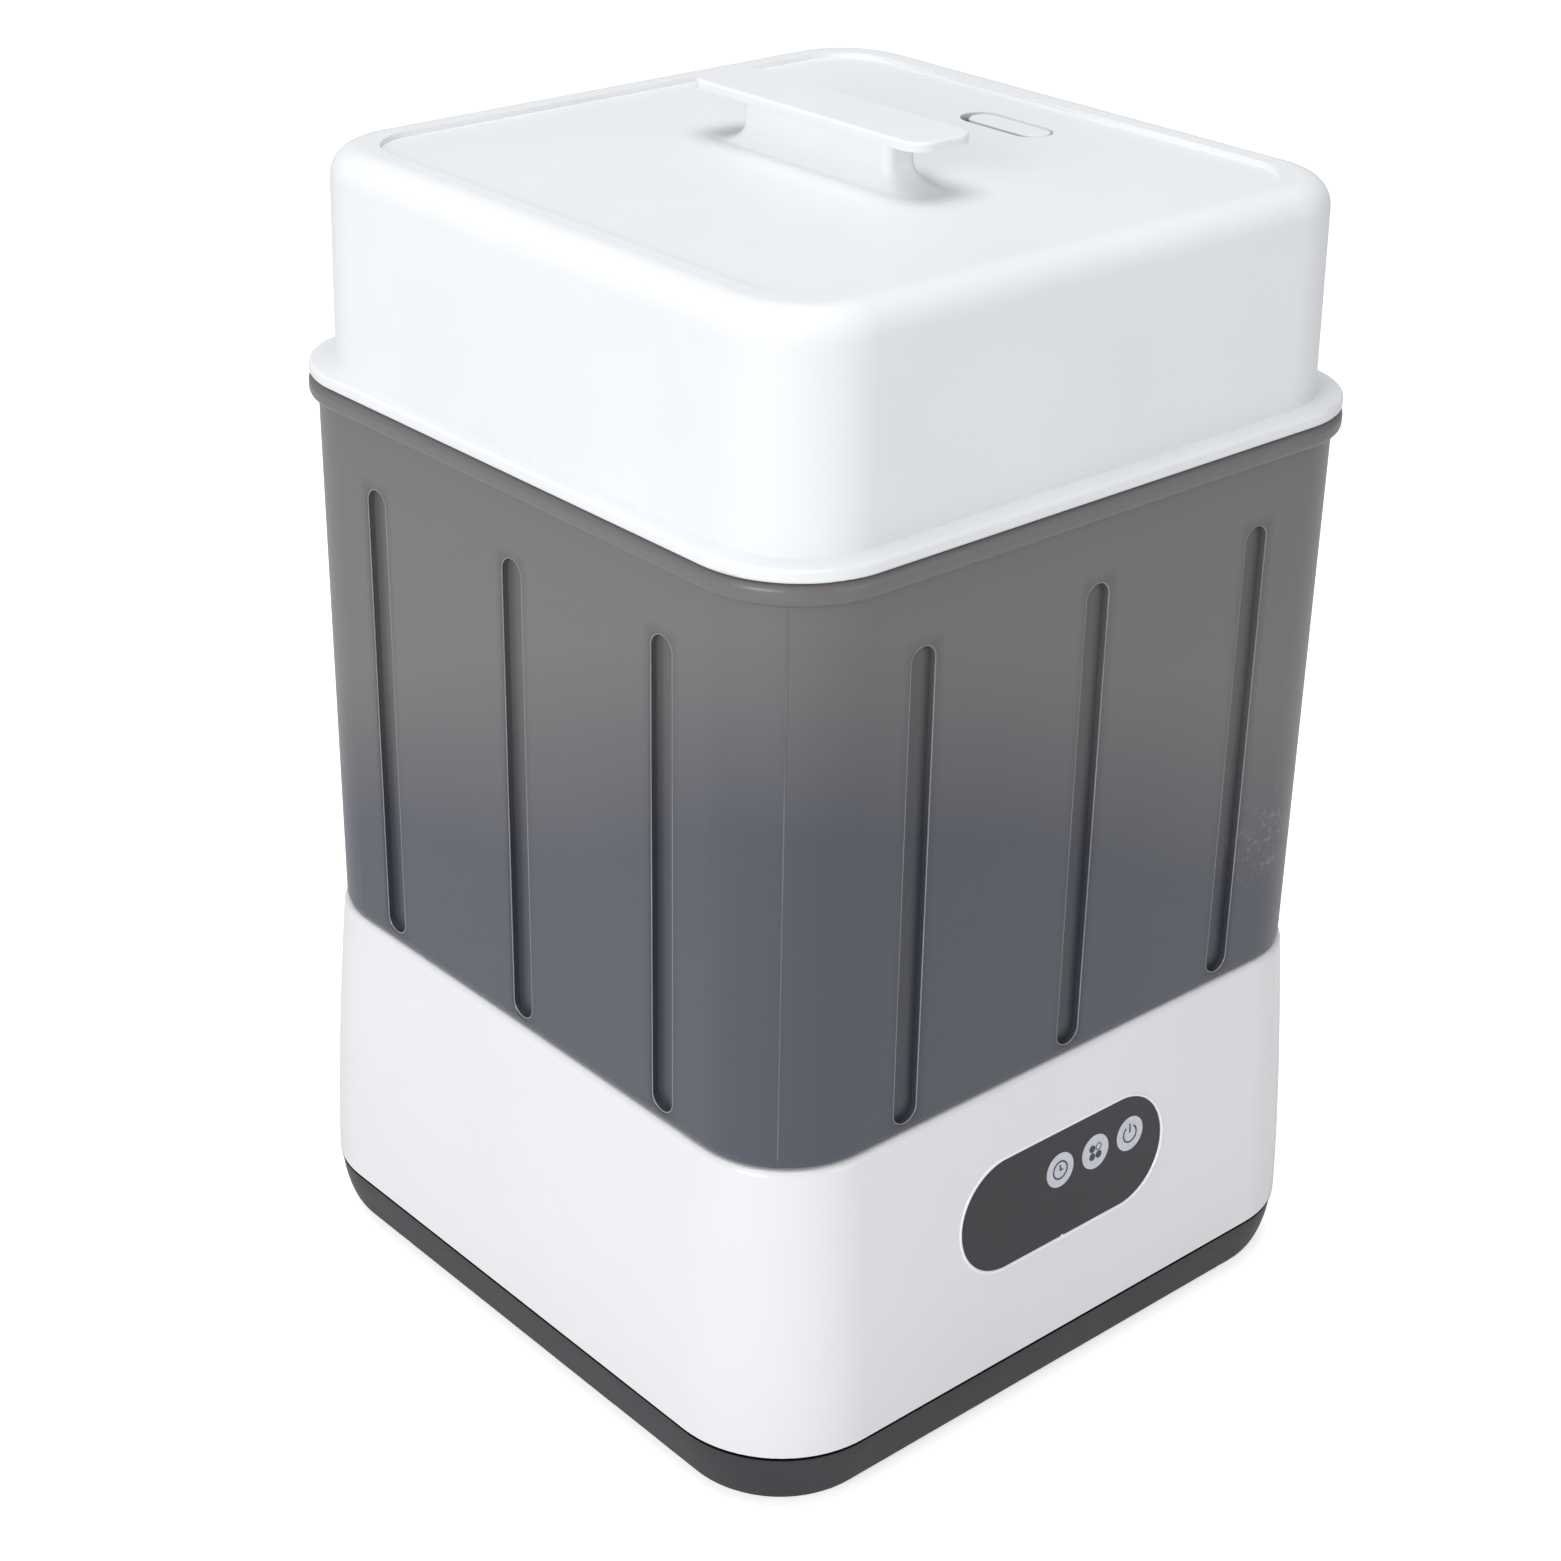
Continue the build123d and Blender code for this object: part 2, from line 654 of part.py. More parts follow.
heater_side = duct_side - 2 * duct_wall - 2 * seat_gap
heater_foot_z = duct_foot_z + 4
fin_count = 9
with BuildPart() as air_heater:
    with BuildSketch(Plane.XY.offset(heater_foot_z)):
        with Locations((duct_x, duct_y)):
            Rectangle(heater_side, 3)
            with GridLocations(heater_side - 1.5, 1, 2, 1):
                Rectangle(1.5, heater_side)
            with GridLocations((heater_side - 1.5) / (fin_count + 1), 1, fin_count, 1):
                Rectangle(0.6, heater_side - 2)
    extrude(amount=heater_block_height)
finish(air_heater.part, "air_heater")

with BuildPart() as air_outlet_cap:
    with BuildSketch(Plane.XY.offset(platform_z)):
        with Locations((duct_x, duct_y)):
            Circle(outlet_cap_radius)
    extrude(amount=outlet_cap_height)
    fillet(air_outlet_cap.faces().sort_by(Axis.Z)[-1].edges(), 3)
    with BuildSketch(Plane.XY.offset(platform_z)):
        with Locations((duct_x, duct_y)):
            Circle(outlet_cap_radius - 2)
    extrude(amount=outlet_cap_height - 2, mode=Mode.SUBTRACT)
    with BuildSketch(Plane.XY.offset(platform_z + 4)):
        with Locations((duct_x, duct_y)):
            with PolarLocations(outlet_cap_radius - 1, 16):
                Rectangle(6, 3.2)
    extrude(amount=outlet_cap_height - 8, mode=Mode.SUBTRACT)
    with BuildSketch(Plane.XY.offset(platform_z + 1.5)):
        with Locations((duct_x, duct_y)):
            Circle(outlet_radius - seat_gap)
            Circle(outlet_radius - 1.6, mode=Mode.SUBTRACT)
    extrude(amount=-(platform_height + 1.5))
    with BuildSketch(Plane.XY.offset(platform_z)):
        with Locations((duct_x, duct_y)):
            Circle(outlet_cap_radius - 1)
            Circle(outlet_radius - 1.6, mode=Mode.SUBTRACT)
    extrude(amount=1.5)
finish(air_outlet_cap.part, "air_outlet_cap")

# Control panel: dark lens, three inlaid touch marks, display and board
with BuildPart() as panel_lens:
    with BuildSketch(front_panel.offset(-panel_ledge_depth)):
        SlotOverall(panel_length - 2 * seat_gap, panel_height - 2 * seat_gap)
    extrude(amount=lens_thickness)
    fillet(panel_lens.faces().sort_by(Axis.Y)[0].edges(), 0.4)
    with BuildSketch(front_panel.offset(-lens_sink)):
        with Locations(*touch_places):
            Circle(touch_radius)
    extrude(amount=-touch_inlay, mode=Mode.SUBTRACT)
finish(panel_lens.part, "panel_lens")

for index, label in enumerate(("touch_timer", "touch_mode", "touch_power")):
    with BuildPart() as touch_mark:
        with BuildSketch(front_panel.offset(-lens_sink - touch_inlay)):
            with Locations(touch_places[index]):
                Circle(touch_radius - 0.05)
        extrude(amount=touch_inlay)
    finish(touch_mark.part, label)

with BuildPart() as display_module:
    with BuildSketch(front_panel.offset(-board_face)):
        with Locations((display_x, 0)):
            RectangleRounded(display_length, display_height, 1)
    extrude(amount=board_gap - running_gap)
finish(display_module.part, "display_module")

with BuildPart() as touch_springs:
    with BuildSketch(front_panel.offset(-board_face)):
        with Locations(*touch_places):
            Circle(3)
            Circle(2.2, mode=Mode.SUBTRACT)
    extrude(amount=board_gap)
finish(touch_springs.part, "touch_springs")

with BuildPart() as control_board:
    with BuildSketch(front_panel.offset(-board_face)):
        RectangleRounded(control_board_length, control_board_height, 2)
        with Locations(*standoff_places):
            Circle(screw_radius + seat_gap, mode=Mode.SUBTRACT)
    extrude(amount=-board_thickness)
    with BuildSketch(front_panel.offset(-board_face - board_thickness)):
        Rectangle(14, 14)
        with Locations((28, 2)):
            Rectangle(12, 8)
    extrude(amount=-3)
finish(control_board.part, "control_board")
board_back = front_panel.offset(-board_face - board_thickness)
board_screw_plane = Plane(origin=board_back.origin, x_dir=(1, 0, 0), z_dir=-board_back.z_dir)
screw_group([(x, -y) for x, y in standoff_places], board_screw_plane, 4.5, "control_board_screws")

# Power board on four standoffs of the cover
power_board_z = cover_floor_z + power_lift
with BuildPart() as power_board:
    with BuildSketch(Plane.XY.offset(power_board_z)):
        with Locations((power_x, power_y)):
            RectangleRounded(power_length, power_width, 2)
            with Locations(*power_standoffs):
                Circle(screw_radius + seat_gap, mode=Mode.SUBTRACT)
    extrude(amount=board_thickness)
    power_top = power_board_z + board_thickness
    with BuildSketch(Plane.XY.offset(power_top)):
        with Locations((power_x - 18, power_y + 18)):
            Rectangle(20, 16)
        with Locations((power_x + 14, power_y + 22)):
            Rectangle(19, 15.5)
        with Locations((power_x - 18, power_y - 10)):
            Rectangle(26, 22)
    extrude(amount=18)
    with BuildSketch(Plane.XY.offset(power_top)):
        with Locations((power_x + 16, power_y - 8), (power_x + 16, power_y - 24)):
            Circle(6)
    extrude(amount=22)
    with BuildSketch(Plane.XY.offset(power_top)):
        with Locations((power_x, power_y - 38)):
            Rectangle(36, 9)
    extrude(amount=10)
finish(power_board.part, "power_board")
power_screw_plane = Plane(origin=(power_x, power_y, power_board_z + board_thickness), x_dir=(1, 0, 0), z_dir=(0, 0, 1))
screw_group(power_standoffs, power_screw_plane, board_thickness + 5, "power_board_screws")

# Filter door with its foam filter, and the mains inlet
door_width = filter_width - 2 * running_gap
door_height = filter_height - 2 * running_gap
slat_pitch = (door_height - 10) / slat_count
with BuildPart() as filter_door:
    with BuildSketch(filter_panel.offset(-door_thickness)):
        RectangleRounded(door_width, door_height, 1.5)
    extrude(amount=door_thickness)
    with BuildSketch(filter_panel):
        with GridLocations(1, slat_pitch, 1, slat_count):
            SlotOverall(door_width - 14, slat_gap)
    extrude(amount=-door_thickness, mode=Mode.SUBTRACT)
finish(filter_door.part, "filter_door")

with BuildPart() as air_filter:
    with BuildSketch(filter_panel.offset(-door_thickness)):
        Rectangle(door_width - 2, door_height - 2)
    extrude(amount=-(filter_depth - running_gap))
finish(air_filter.part, "air_filter")

inlet_land = inlet_panel.offset(-inlet_flange_thickness)
with BuildPart() as power_inlet:
    with BuildSketch(inlet_land):
        RectangleRounded(inlet_flange_length, inlet_flange_height, 3)
        with Locations((inlet_screw_pitch / 2, 0), (-inlet_screw_pitch / 2, 0)):
            Circle(screw_radius + seat_gap, mode=Mode.SUBTRACT)
    extrude(amount=inlet_flange_thickness)
    with BuildSketch(inlet_land.offset(inlet_flange_thickness)):
        with Locations((inlet_screw_pitch / 2, 0), (-inlet_screw_pitch / 2, 0)):
            Circle(screw_head_radius + seat_gap)
    extrude(amount=-inlet_head_sink, mode=Mode.SUBTRACT)
    with BuildSketch(inlet_land):
        Rectangle(inlet_width, inlet_height)
    extrude(amount=-inlet_depth)
    with BuildSketch(inlet_land.offset(inlet_flange_thickness)):
        with BuildLine():
            Polyline((-12, -8), (12, -8), (12, 4), (8, 8), (-8, 8), (-12, 4), close=True)
        make_face()
    extrude(amount=-inlet_cavity_depth, mode=Mode.SUBTRACT)
    with BuildSketch(inlet_land.offset(-inlet_depth)):
        with Locations((-7, -2), (7, -2), (0, 3)):
            Rectangle(2.2, 4.2)
    extrude(amount=inlet_depth, mode=Mode.SUBTRACT)
finish(power_inlet.part, "power_inlet")

inlet_floor = inlet_flange_thickness - inlet_cavity_depth
with BuildPart() as inlet_pins:
    with BuildSketch(inlet_land.offset(inlet_floor + inlet_pin_length)):
        with Locations((-7, -2), (7, -2), (0, 3)):
            Rectangle(2, 4)
    extrude(amount=-(inlet_pin_length + inlet_depth + inlet_floor + 5))
finish(inlet_pins.part, "inlet_pins")
screw_group([(inlet_screw_pitch / 2, 0), (-inlet_screw_pitch / 2, 0)],
            inlet_land.offset(inlet_flange_thickness - inlet_head_sink), 7, "inlet_screws")

# Chamber: smoked box with a turned-in ledge, three grooves in each side and a rolled rim
chamber_inner_half = chamber_half - chamber_wall
side_planes = [Plane(origin=(0, -chamber_half, 0), x_dir=(1, 0, 0), z_dir=(0, -1, 0)),
               Plane(origin=(0, chamber_half, 0), x_dir=(-1, 0, 0), z_dir=(0, 1, 0)),
               Plane(origin=(-chamber_half, 0, 0), x_dir=(0, -1, 0), z_dir=(-1, 0, 0)),
               Plane(origin=(chamber_half, 0, 0), x_dir=(0, 1, 0), z_dir=(1, 0, 0))]
groove_middle_z = groove_foot_z + groove_length / 2


def on_outer_face(edge):
    """Whether both of an edge's ends lie on one of the chamber's four outer faces."""
    ends = [edge @ 0, edge @ 1]
    return (all(abs(abs(p.X) - chamber_half) < 0.01 for p in ends)
            or all(abs(abs(p.Y) - chamber_half) < 0.01 for p in ends))


rib_width = groove_width + 2 * chamber_wall
rib_length = groove_length + 2 * chamber_wall
with BuildPart() as chamber:
    with BuildSketch(Plane.XY.offset(deck_z)):
        RectangleRounded(2 * chamber_half, 2 * chamber_half, chamber_half - corner_centre)
    extrude(amount=chamber_height)
    fillet(chamber.faces().sort_by(Axis.Z)[0].edges(), chamber_bottom_radius)
    with BuildSketch(Plane.XY.offset(rim_foot_z)):
        RectangleRounded(2 * (chamber_half + rim_overhang), 2 * (chamber_half + rim_overhang),
                         chamber_half + rim_overhang - corner_centre)
    extrude(amount=rim_height)
    rim_edges = chamber.edges().filter_by(
        lambda e: e.center().Z > rim_foot_z - 0.1 and max(abs(e.center().X), abs(e.center().Y)) > chamber_half + 1
        and abs(e.bounding_box().size.Z) < 0.01)
    fillet(rim_edges, rim_overhang * 0.85)
    with BuildSketch(Plane.XY.offset(ledge_z)):
        RectangleRounded(2 * chamber_inner_half, 2 * chamber_inner_half, chamber_inner_half - corner_centre)
    extrude(amount=chamber_height, mode=Mode.SUBTRACT)
    for side in side_planes:
        with BuildSketch(side.offset(-chamber_wall / 2)):
            for x in (-groove_pitch, 0, groove_pitch):
                with Locations((x, groove_middle_z)):
                    SlotOverall(rib_length, rib_width, rotation=90)
        extrude(amount=-(groove_depth + chamber_wall / 2))
    for side in side_planes:
        with BuildSketch(side):
            for x in (-groove_pitch, 0, groove_pitch):
                with Locations((x, groove_middle_z)):
                    SlotOverall(groove_length, groove_width, rotation=90)
        extrude(amount=-groove_depth, mode=Mode.SUBTRACT)
    groove_rims = chamber.edges().filter_by(
        lambda e: on_outer_face(e) and groove_foot_z - 0.1 < e.center().Z < groove_top_z + 0.1
        and min(abs(e.center().X), abs(e.center().Y)) < groove_pitch + groove_width / 2 + 0.1)
    fillet(groove_rims, groove_rim_radius)
    with BuildSketch(Plane.XY.offset(deck_z)):
        RectangleRounded(2 * chamber_opening_half, 2 * chamber_opening_half, platform_radius)
    extrude(amount=chamber_wall + 1, mode=Mode.SUBTRACT)
finish(chamber.part, "chamber")

# Lower rack: slotted plate on eight legs, with pegs for upturned bottles; the three are one moulding
lower_plate_z = ledge_z + lower_rack_lift
leg_places = [(s * rack_leg_place, t * rack_leg_offset) for s in (-1, 1) for t in (-1, 1)]
peg_places = [(x, y) for x in (-peg_pitch, 0, peg_pitch) for y in (-peg_pitch, 0, peg_pitch)]
slot_rows = 17
with BuildPart() as lower_rack:
    with BuildSketch(Plane.XY.offset(lower_plate_z)):
        RectangleRounded(2 * rack_half, 2 * rack_half, rack_radius)
        with GridLocations(peg_pitch, rack_slot_pitch, 3, slot_rows):
            SlotOverall(rack_slot_length, rack_slot_width, mode=Mode.SUBTRACT)
        with Locations(*peg_places):
            Circle(peg_radius + 3)
    extrude(amount=rack_plate)
finish(lower_rack.part, "lower_rack")

with BuildPart() as rack_legs:
    with BuildSketch(Plane.XY.offset(ledge_z)):
        with Locations(*leg_places):
            Rectangle(rack_leg_thickness, rack_leg_length)
        with Locations(*[(y, x) for x, y in leg_places]):
            Rectangle(rack_leg_length, rack_leg_thickness)
    extrude(amount=lower_rack_lift)
finish(rack_legs.part, "rack_legs")

with BuildPart() as bottle_pegs:
    with BuildSketch(Plane.XY.offset(lower_plate_z + rack_plate)):
        with Locations(*peg_places):
            Circle(peg_radius)
    extrude(amount=peg_height, taper=peg_taper)
    fillet(bottle_pegs.faces().group_by(Axis.Z)[-1].edges(), peg_tip_radius)
finish(bottle_pegs.part, "bottle_pegs")

# Upper rack: shallow slotted tray whose flange hangs on the tops of the chamber's ribs
tray_flange_z = groove_top_z + chamber_wall + running_gap
tray_flange_half = chamber_inner_half - 2 * running_gap
tray_floor_z = tray_flange_z + tray_flange - tray_depth
with BuildPart() as upper_rack:
    with BuildSketch(Plane.XY.offset(tray_floor_z)):
        RectangleRounded(2 * tray_half, 2 * tray_half, tray_radius)
    extrude(amount=tray_depth)
    with BuildSketch(Plane.XY.offset(tray_flange_z)):
        RectangleRounded(2 * tray_flange_half, 2 * tray_flange_half, tray_flange_half - corner_centre)
    extrude(amount=tray_flange)
    with BuildSketch(Plane.XY.offset(tray_floor_z)):
        RectangleRounded(2 * (tray_half - tray_wall), 2 * (tray_half - tray_wall), tray_radius - tray_wall)
    extrude(amount=tray_depth, mode=Mode.SUBTRACT)
finish(upper_rack.part, "upper_rack")

# The tray's slotted floor meets the wall all round; the two are one moulding
with BuildPart() as tray_floor:
    with BuildSketch(Plane.XY.offset(tray_floor_z)):
        RectangleRounded(2 * (tray_half - tray_wall), 2 * (tray_half - tray_wall), tray_radius - tray_wall)
        with GridLocations(peg_pitch, rack_slot_pitch, 3, slot_rows - 1):
            SlotOverall(rack_slot_length, rack_slot_width, mode=Mode.SUBTRACT)
    extrude(amount=tray_wall)
finish(tray_floor.part, "tray_floor")

# Lid: tall shell with a flange on the rim, a skirt inside it and a sunk top panel
flange_top_z = lid_foot_z + lid_flange_thickness
lid_outer = [rounded_square(flange_top_z - 1, lid_wall_half, lid_corner_radius),
             rounded_square(lid_top_z, lid_top_half, lid_corner_radius)]
lid_inner = [rounded_square(lid_foot_z - 1, lid_wall_half - lid_wall, lid_corner_radius - lid_wall),
             rounded_square(lid_panel_z - lid_wall, lid_top_half - lid_wall, lid_corner_radius - lid_wall)]
skirt_half = chamber_inner_half - 2 * running_gap
lid_screw_places = [(0, handle_screw_pitch / 2), (0, -handle_screw_pitch / 2)]
with BuildPart() as lid_shell:
    loft(lid_outer)
    fillet(lid_shell.faces().sort_by(Axis.Z)[-1].edges(), lid_edge_radius)
    with BuildSketch(Plane.XY.offset(lid_foot_z)):
        RectangleRounded(2 * lid_flange_half, 2 * lid_flange_half, lid_flange_half - corner_centre)
    extrude(amount=lid_flange_thickness)
    flange_edges = lid_shell.edges().filter_by(
        lambda e: max(abs(e.center().X), abs(e.center().Y)) > lid_wall_half + 2 and e.bounding_box().size.Z < 0.01)
    fillet(flange_edges, 1.2)
    loft(lid_inner, mode=Mode.SUBTRACT)
    with BuildSketch(Plane.XY.offset(lid_foot_z + lid_flange_thickness / 2)):
        RectangleRounded(2 * skirt_half, 2 * skirt_half, skirt_half - corner_centre)
        RectangleRounded(2 * (skirt_half - skirt_wall), 2 * (skirt_half - skirt_wall),
                         skirt_half - skirt_wall - corner_centre, mode=Mode.SUBTRACT)
    extrude(amount=-(skirt_depth + lid_flange_thickness / 2))
    with BuildSketch(Plane.XY.offset(lid_top_z)):
        RectangleRounded(2 * lid_panel_half, 2 * lid_panel_half, lid_panel_radius)
    extrude(amount=-lid_panel_sink, mode=Mode.SUBTRACT)
    with BuildSketch(Plane.XY.offset(lid_panel_z)):
        with Locations((vent_x, vent_y)):
            SlotOverall(vent_length, vent_width, rotation=90)
        with Locations(*lid_screw_places):
            Circle(screw_radius + seat_gap)
    extrude(amount=-lid_wall, mode=Mode.SUBTRACT)
finish(lid_shell.part, "lid_shell")


def handle_section(rise, length, width, radius):
    with BuildSketch(Plane.XY.offset(lid_panel_z + rise)) as section:
        RectangleRounded(width, length, radius)
    return section.sketch


foot_levels = []
for step in (0.0, 0.08, 0.25, 0.55, 1.0):
    spread = 1 - sqrt(1 - (1 - step) ** 2)
    foot_levels.append(handle_section(step * handle_foot_height,
                                      web_length + (handle_foot_length - web_length) * spread,
                                      web_width + (handle_foot_width - web_width) * spread,
                                      3 + (handle_foot_width / 2 - 3.2) * spread))
with BuildPart() as lid_handle:
    loft(foot_levels)
    with BuildSketch(Plane.XY.offset(lid_panel_z + handle_foot_height)):
        RectangleRounded(web_width, web_length, 3)
    extrude(amount=handle_rise - handle_foot_height - handle_plate / 2)
    with BuildSketch(Plane.XY.offset(handle_top_z - handle_plate)):
        RectangleRounded(handle_width, handle_length, 7)
    extrude(amount=handle_plate)
    fillet(lid_handle.faces().sort_by(Axis.Z)[-1].edges(), 1.0)
    with BuildSketch(Plane.XY.offset(lid_panel_z)):
        with Locations(*lid_screw_places):
            Circle(screw_radius + seat_gap)
    extrude(amount=10, mode=Mode.SUBTRACT)
finish(lid_handle.part, "lid_handle")
handle_screw_plane = Plane(origin=(0, 0, lid_panel_z - lid_wall), x_dir=(1, 0, 0), z_dir=(0, 0, -1))
screw_group([(x, -y) for x, y in lid_screw_places], handle_screw_plane, lid_wall + 8, "handle_screws")

# Vent insert: island in the lid's slot on a baffle with side windows under the lid
insert_width = vent_width - vent_gap - running_gap
insert_x = vent_x + vent_width / 2 - running_gap - insert_width / 2
insert_length = vent_length - 2 * vent_end_gap
under_lid_z = lid_panel_z - lid_wall
baffle_drop = 5.0
with BuildPart() as vent_insert:
    with BuildSketch(Plane.XY.offset(under_lid_z - baffle_drop)):
        with Locations((insert_x, vent_y)):
            SlotOverall(insert_length, insert_width, rotation=90)
    extrude(amount=baffle_drop + lid_wall - running_gap)
    fillet(vent_insert.faces().sort_by(Axis.Z)[-1].edges(), 0.8)
    with BuildSketch(Plane.XY.offset(under_lid_z - baffle_drop)):
        with Locations((vent_x, vent_y)):
            SlotOverall(vent_length + 2 * vent_flange, vent_width + 2 * vent_flange, rotation=90)
    extrude(amount=-vent_flange_thickness)
    with BuildSketch(Plane.XY.offset(under_lid_z - baffle_drop)):
        with Locations((vent_x, vent_y)):
            with GridLocations(1, vent_length + vent_flange, 1, 2):
                Circle(2.2)
            with GridLocations(vent_width + vent_flange, 1, 2, 1):
                Circle(2.2)
    extrude(amount=baffle_drop)
finish(vent_insert.part, "vent_insert")
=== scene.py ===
import json
import math

import bpy
from mathutils import Matrix, Vector


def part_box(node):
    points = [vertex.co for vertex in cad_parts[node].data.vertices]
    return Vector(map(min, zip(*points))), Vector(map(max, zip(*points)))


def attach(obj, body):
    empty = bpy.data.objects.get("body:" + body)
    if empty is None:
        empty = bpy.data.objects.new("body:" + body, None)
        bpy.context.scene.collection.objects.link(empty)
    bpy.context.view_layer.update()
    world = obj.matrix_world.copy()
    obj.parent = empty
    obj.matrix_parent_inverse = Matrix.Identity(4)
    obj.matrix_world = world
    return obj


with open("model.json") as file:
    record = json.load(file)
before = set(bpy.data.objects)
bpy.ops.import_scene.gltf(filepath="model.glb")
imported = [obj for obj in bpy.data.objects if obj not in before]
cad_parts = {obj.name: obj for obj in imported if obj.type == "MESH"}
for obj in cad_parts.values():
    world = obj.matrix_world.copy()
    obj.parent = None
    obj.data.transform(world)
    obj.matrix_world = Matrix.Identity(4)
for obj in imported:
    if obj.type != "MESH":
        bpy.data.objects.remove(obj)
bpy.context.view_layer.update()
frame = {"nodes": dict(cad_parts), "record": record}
nodes = frame["nodes"]
print("frame loaded:", len(nodes), "nodes")

# Camera, at the photograph's place and angle
cameraSettings = {
    "place": (-0.57314, -0.63058, 0.60261),
    "turn": 0.72551,         # heading, from +Y towards +X
    "tilt": -0.47162,
    "roll": 0.01812,
    "focalPixels": 2935.55,
    "imagePixels": 1561,
    "sensor": 36.0,
    "clipStart": 0.01,
}


def makeCamera(s):
    data = bpy.data.cameras.new("camera")
    data.sensor_width = s["sensor"]
    data.lens = s["focalPixels"] * s["sensor"] / s["imagePixels"]
    data.clip_start = s["clipStart"]
    camera = bpy.data.objects.new("camera", data)
    bpy.context.scene.collection.objects.link(camera)
    camera.matrix_world = (Matrix.Translation(s["place"])
                           @ Matrix.Rotation(-s["turn"], 4, "Z")
                           @ Matrix.Rotation(math.pi / 2 + s["tilt"], 4, "X")
                           @ Matrix.Rotation(s["roll"], 4, "Z"))
    bpy.context.scene.camera = camera


makeCamera(cameraSettings)
bpy.context.scene.view_settings.view_transform = "Standard"
print("camera set")

# Materials, one for each slot of the record
plastics = {
    "housing_white": {"pale": (0.80, 0.80, 0.815), "deep": (0.775, 0.775, 0.79), "rough": (0.16, 0.22),
                      "patch": 14, "grain": 900, "relief": 0.00001, "coat": 0.35},
    "lid_white": {"pale": (0.83, 0.845, 0.86), "deep": (0.805, 0.82, 0.835), "rough": (0.44, 0.52),
                  "patch": 18, "grain": 2200, "relief": 0.00004, "coat": 0.0},
    # The bottom cover's line and lineColour paint a shadow along its top edge, under the housing
    "cover_black": {"pale": (0.037, 0.035, 0.041), "deep": (0.029, 0.027, 0.032), "rough": (0.42, 0.52),
                    "patch": 30, "grain": 2600, "relief": 0.00006, "coat": 0.0, "line": (0.0208, 0.0214),
                    "lineColour": (0.004, 0.004, 0.004)},
    "lens_charcoal": {"pale": (0.0155, 0.0147, 0.021), "deep": (0.0133, 0.0126, 0.018), "rough": (0.30, 0.36),
                      "patch": 25, "grain": 500, "relief": 0.000006, "coat": 0.1},
    "touch_grey": {"pale": (0.64, 0.66, 0.70), "deep": (0.55, 0.57, 0.62), "rough": (0.38, 0.48),
                   "patch": 700, "grain": 3000, "relief": 0.00001, "coat": 0.0},
    "foot_rubber": {"pale": (0.055, 0.055, 0.06), "deep": (0.035, 0.035, 0.04), "rough": (0.75, 0.9),
                    "patch": 120, "grain": 1800, "relief": 0.0001, "coat": 0.0},
    "seal_silicone": {"pale": (0.56, 0.57, 0.59), "deep": (0.48, 0.49, 0.51), "rough": (0.35, 0.5),
                      "patch": 60, "grain": 1200, "relief": 0.00004, "coat": 0.0},
    "thermo_black": {"pale": (0.06, 0.05, 0.05), "deep": (0.04, 0.034, 0.034), "rough": (0.4, 0.55),
                     "patch": 150, "grain": 1500, "relief": 0.00004, "coat": 0.0},
    "fan_black": {"pale": (0.05, 0.05, 0.055), "deep": (0.034, 0.034, 0.038), "rough": (0.35, 0.5),
                  "patch": 60, "grain": 1400, "relief": 0.00004, "coat": 0.0},
    "motor_steel": {"pale": (0.36, 0.36, 0.37), "deep": (0.27, 0.27, 0.28), "rough": (0.35, 0.5),
                    "patch": 90, "grain": 1600, "relief": 0.00003, "coat": 0.2},
    "duct_grey": {"pale": (0.36, 0.37, 0.38), "deep": (0.30, 0.31, 0.32), "rough": (0.4, 0.55),
                  "patch": 50, "grain": 1500, "relief": 0.00004, "coat": 0.0},
    "display_black": {"pale": (0.03, 0.03, 0.034), "deep": (0.02, 0.02, 0.023), "rough": (0.12, 0.2),
                      "patch": 60, "grain": 900, "relief": 0.00001, "coat": 0.5},
    "inlet_black": {"pale": (0.035, 0.035, 0.037), "deep": (0.022, 0.022, 0.024), "rough": (0.4, 0.52),
                    "patch": 90, "grain": 1800, "relief": 0.00005, "coat": 0.0},
    "rack_white": {"pale": (0.80, 0.81, 0.82), "deep": (0.75, 0.76, 0.775), "rough": (0.34, 0.44),
                   "patch": 25, "grain": 1800, "relief": 0.00004, "coat": 0.0},
}
metals = {
    "screw_steel": {"pale": (0.66, 0.66, 0.68), "deep": (0.48, 0.48, 0.50), "rough": (0.28, 0.45),
                    "drag": (900, 900, 200)},
    "plate_steel": {"pale": (0.72, 0.72, 0.72), "deep": (0.56, 0.56, 0.57), "rough": (0.22, 0.38),
                    "drag": (60, 2400, 60)},
    "spreader_alloy": {"pale": (0.66, 0.66, 0.67), "deep": (0.50, 0.50, 0.52), "rough": (0.45, 0.65),
                       "drag": (500, 500, 500)},
    "element_steel": {"pale": (0.44, 0.43, 0.42), "deep": (0.30, 0.29, 0.28), "rough": (0.35, 0.55),
                      "drag": (200, 200, 900)},
    "heater_alloy": {"pale": (0.68, 0.68, 0.69), "deep": (0.52, 0.52, 0.54), "rough": (0.35, 0.5),
                     "drag": (80, 80, 1500)},
    "spring_steel": {"pale": (0.68, 0.67, 0.64), "deep": (0.50, 0.49, 0.46), "rough": (0.2, 0.35),
                     "drag": (900, 200, 900)},
    "pin_brass": {"pale": (0.74, 0.62, 0.36), "deep": (0.58, 0.46, 0.24), "rough": (0.2, 0.35),
                  "drag": (600, 120, 600)},
}
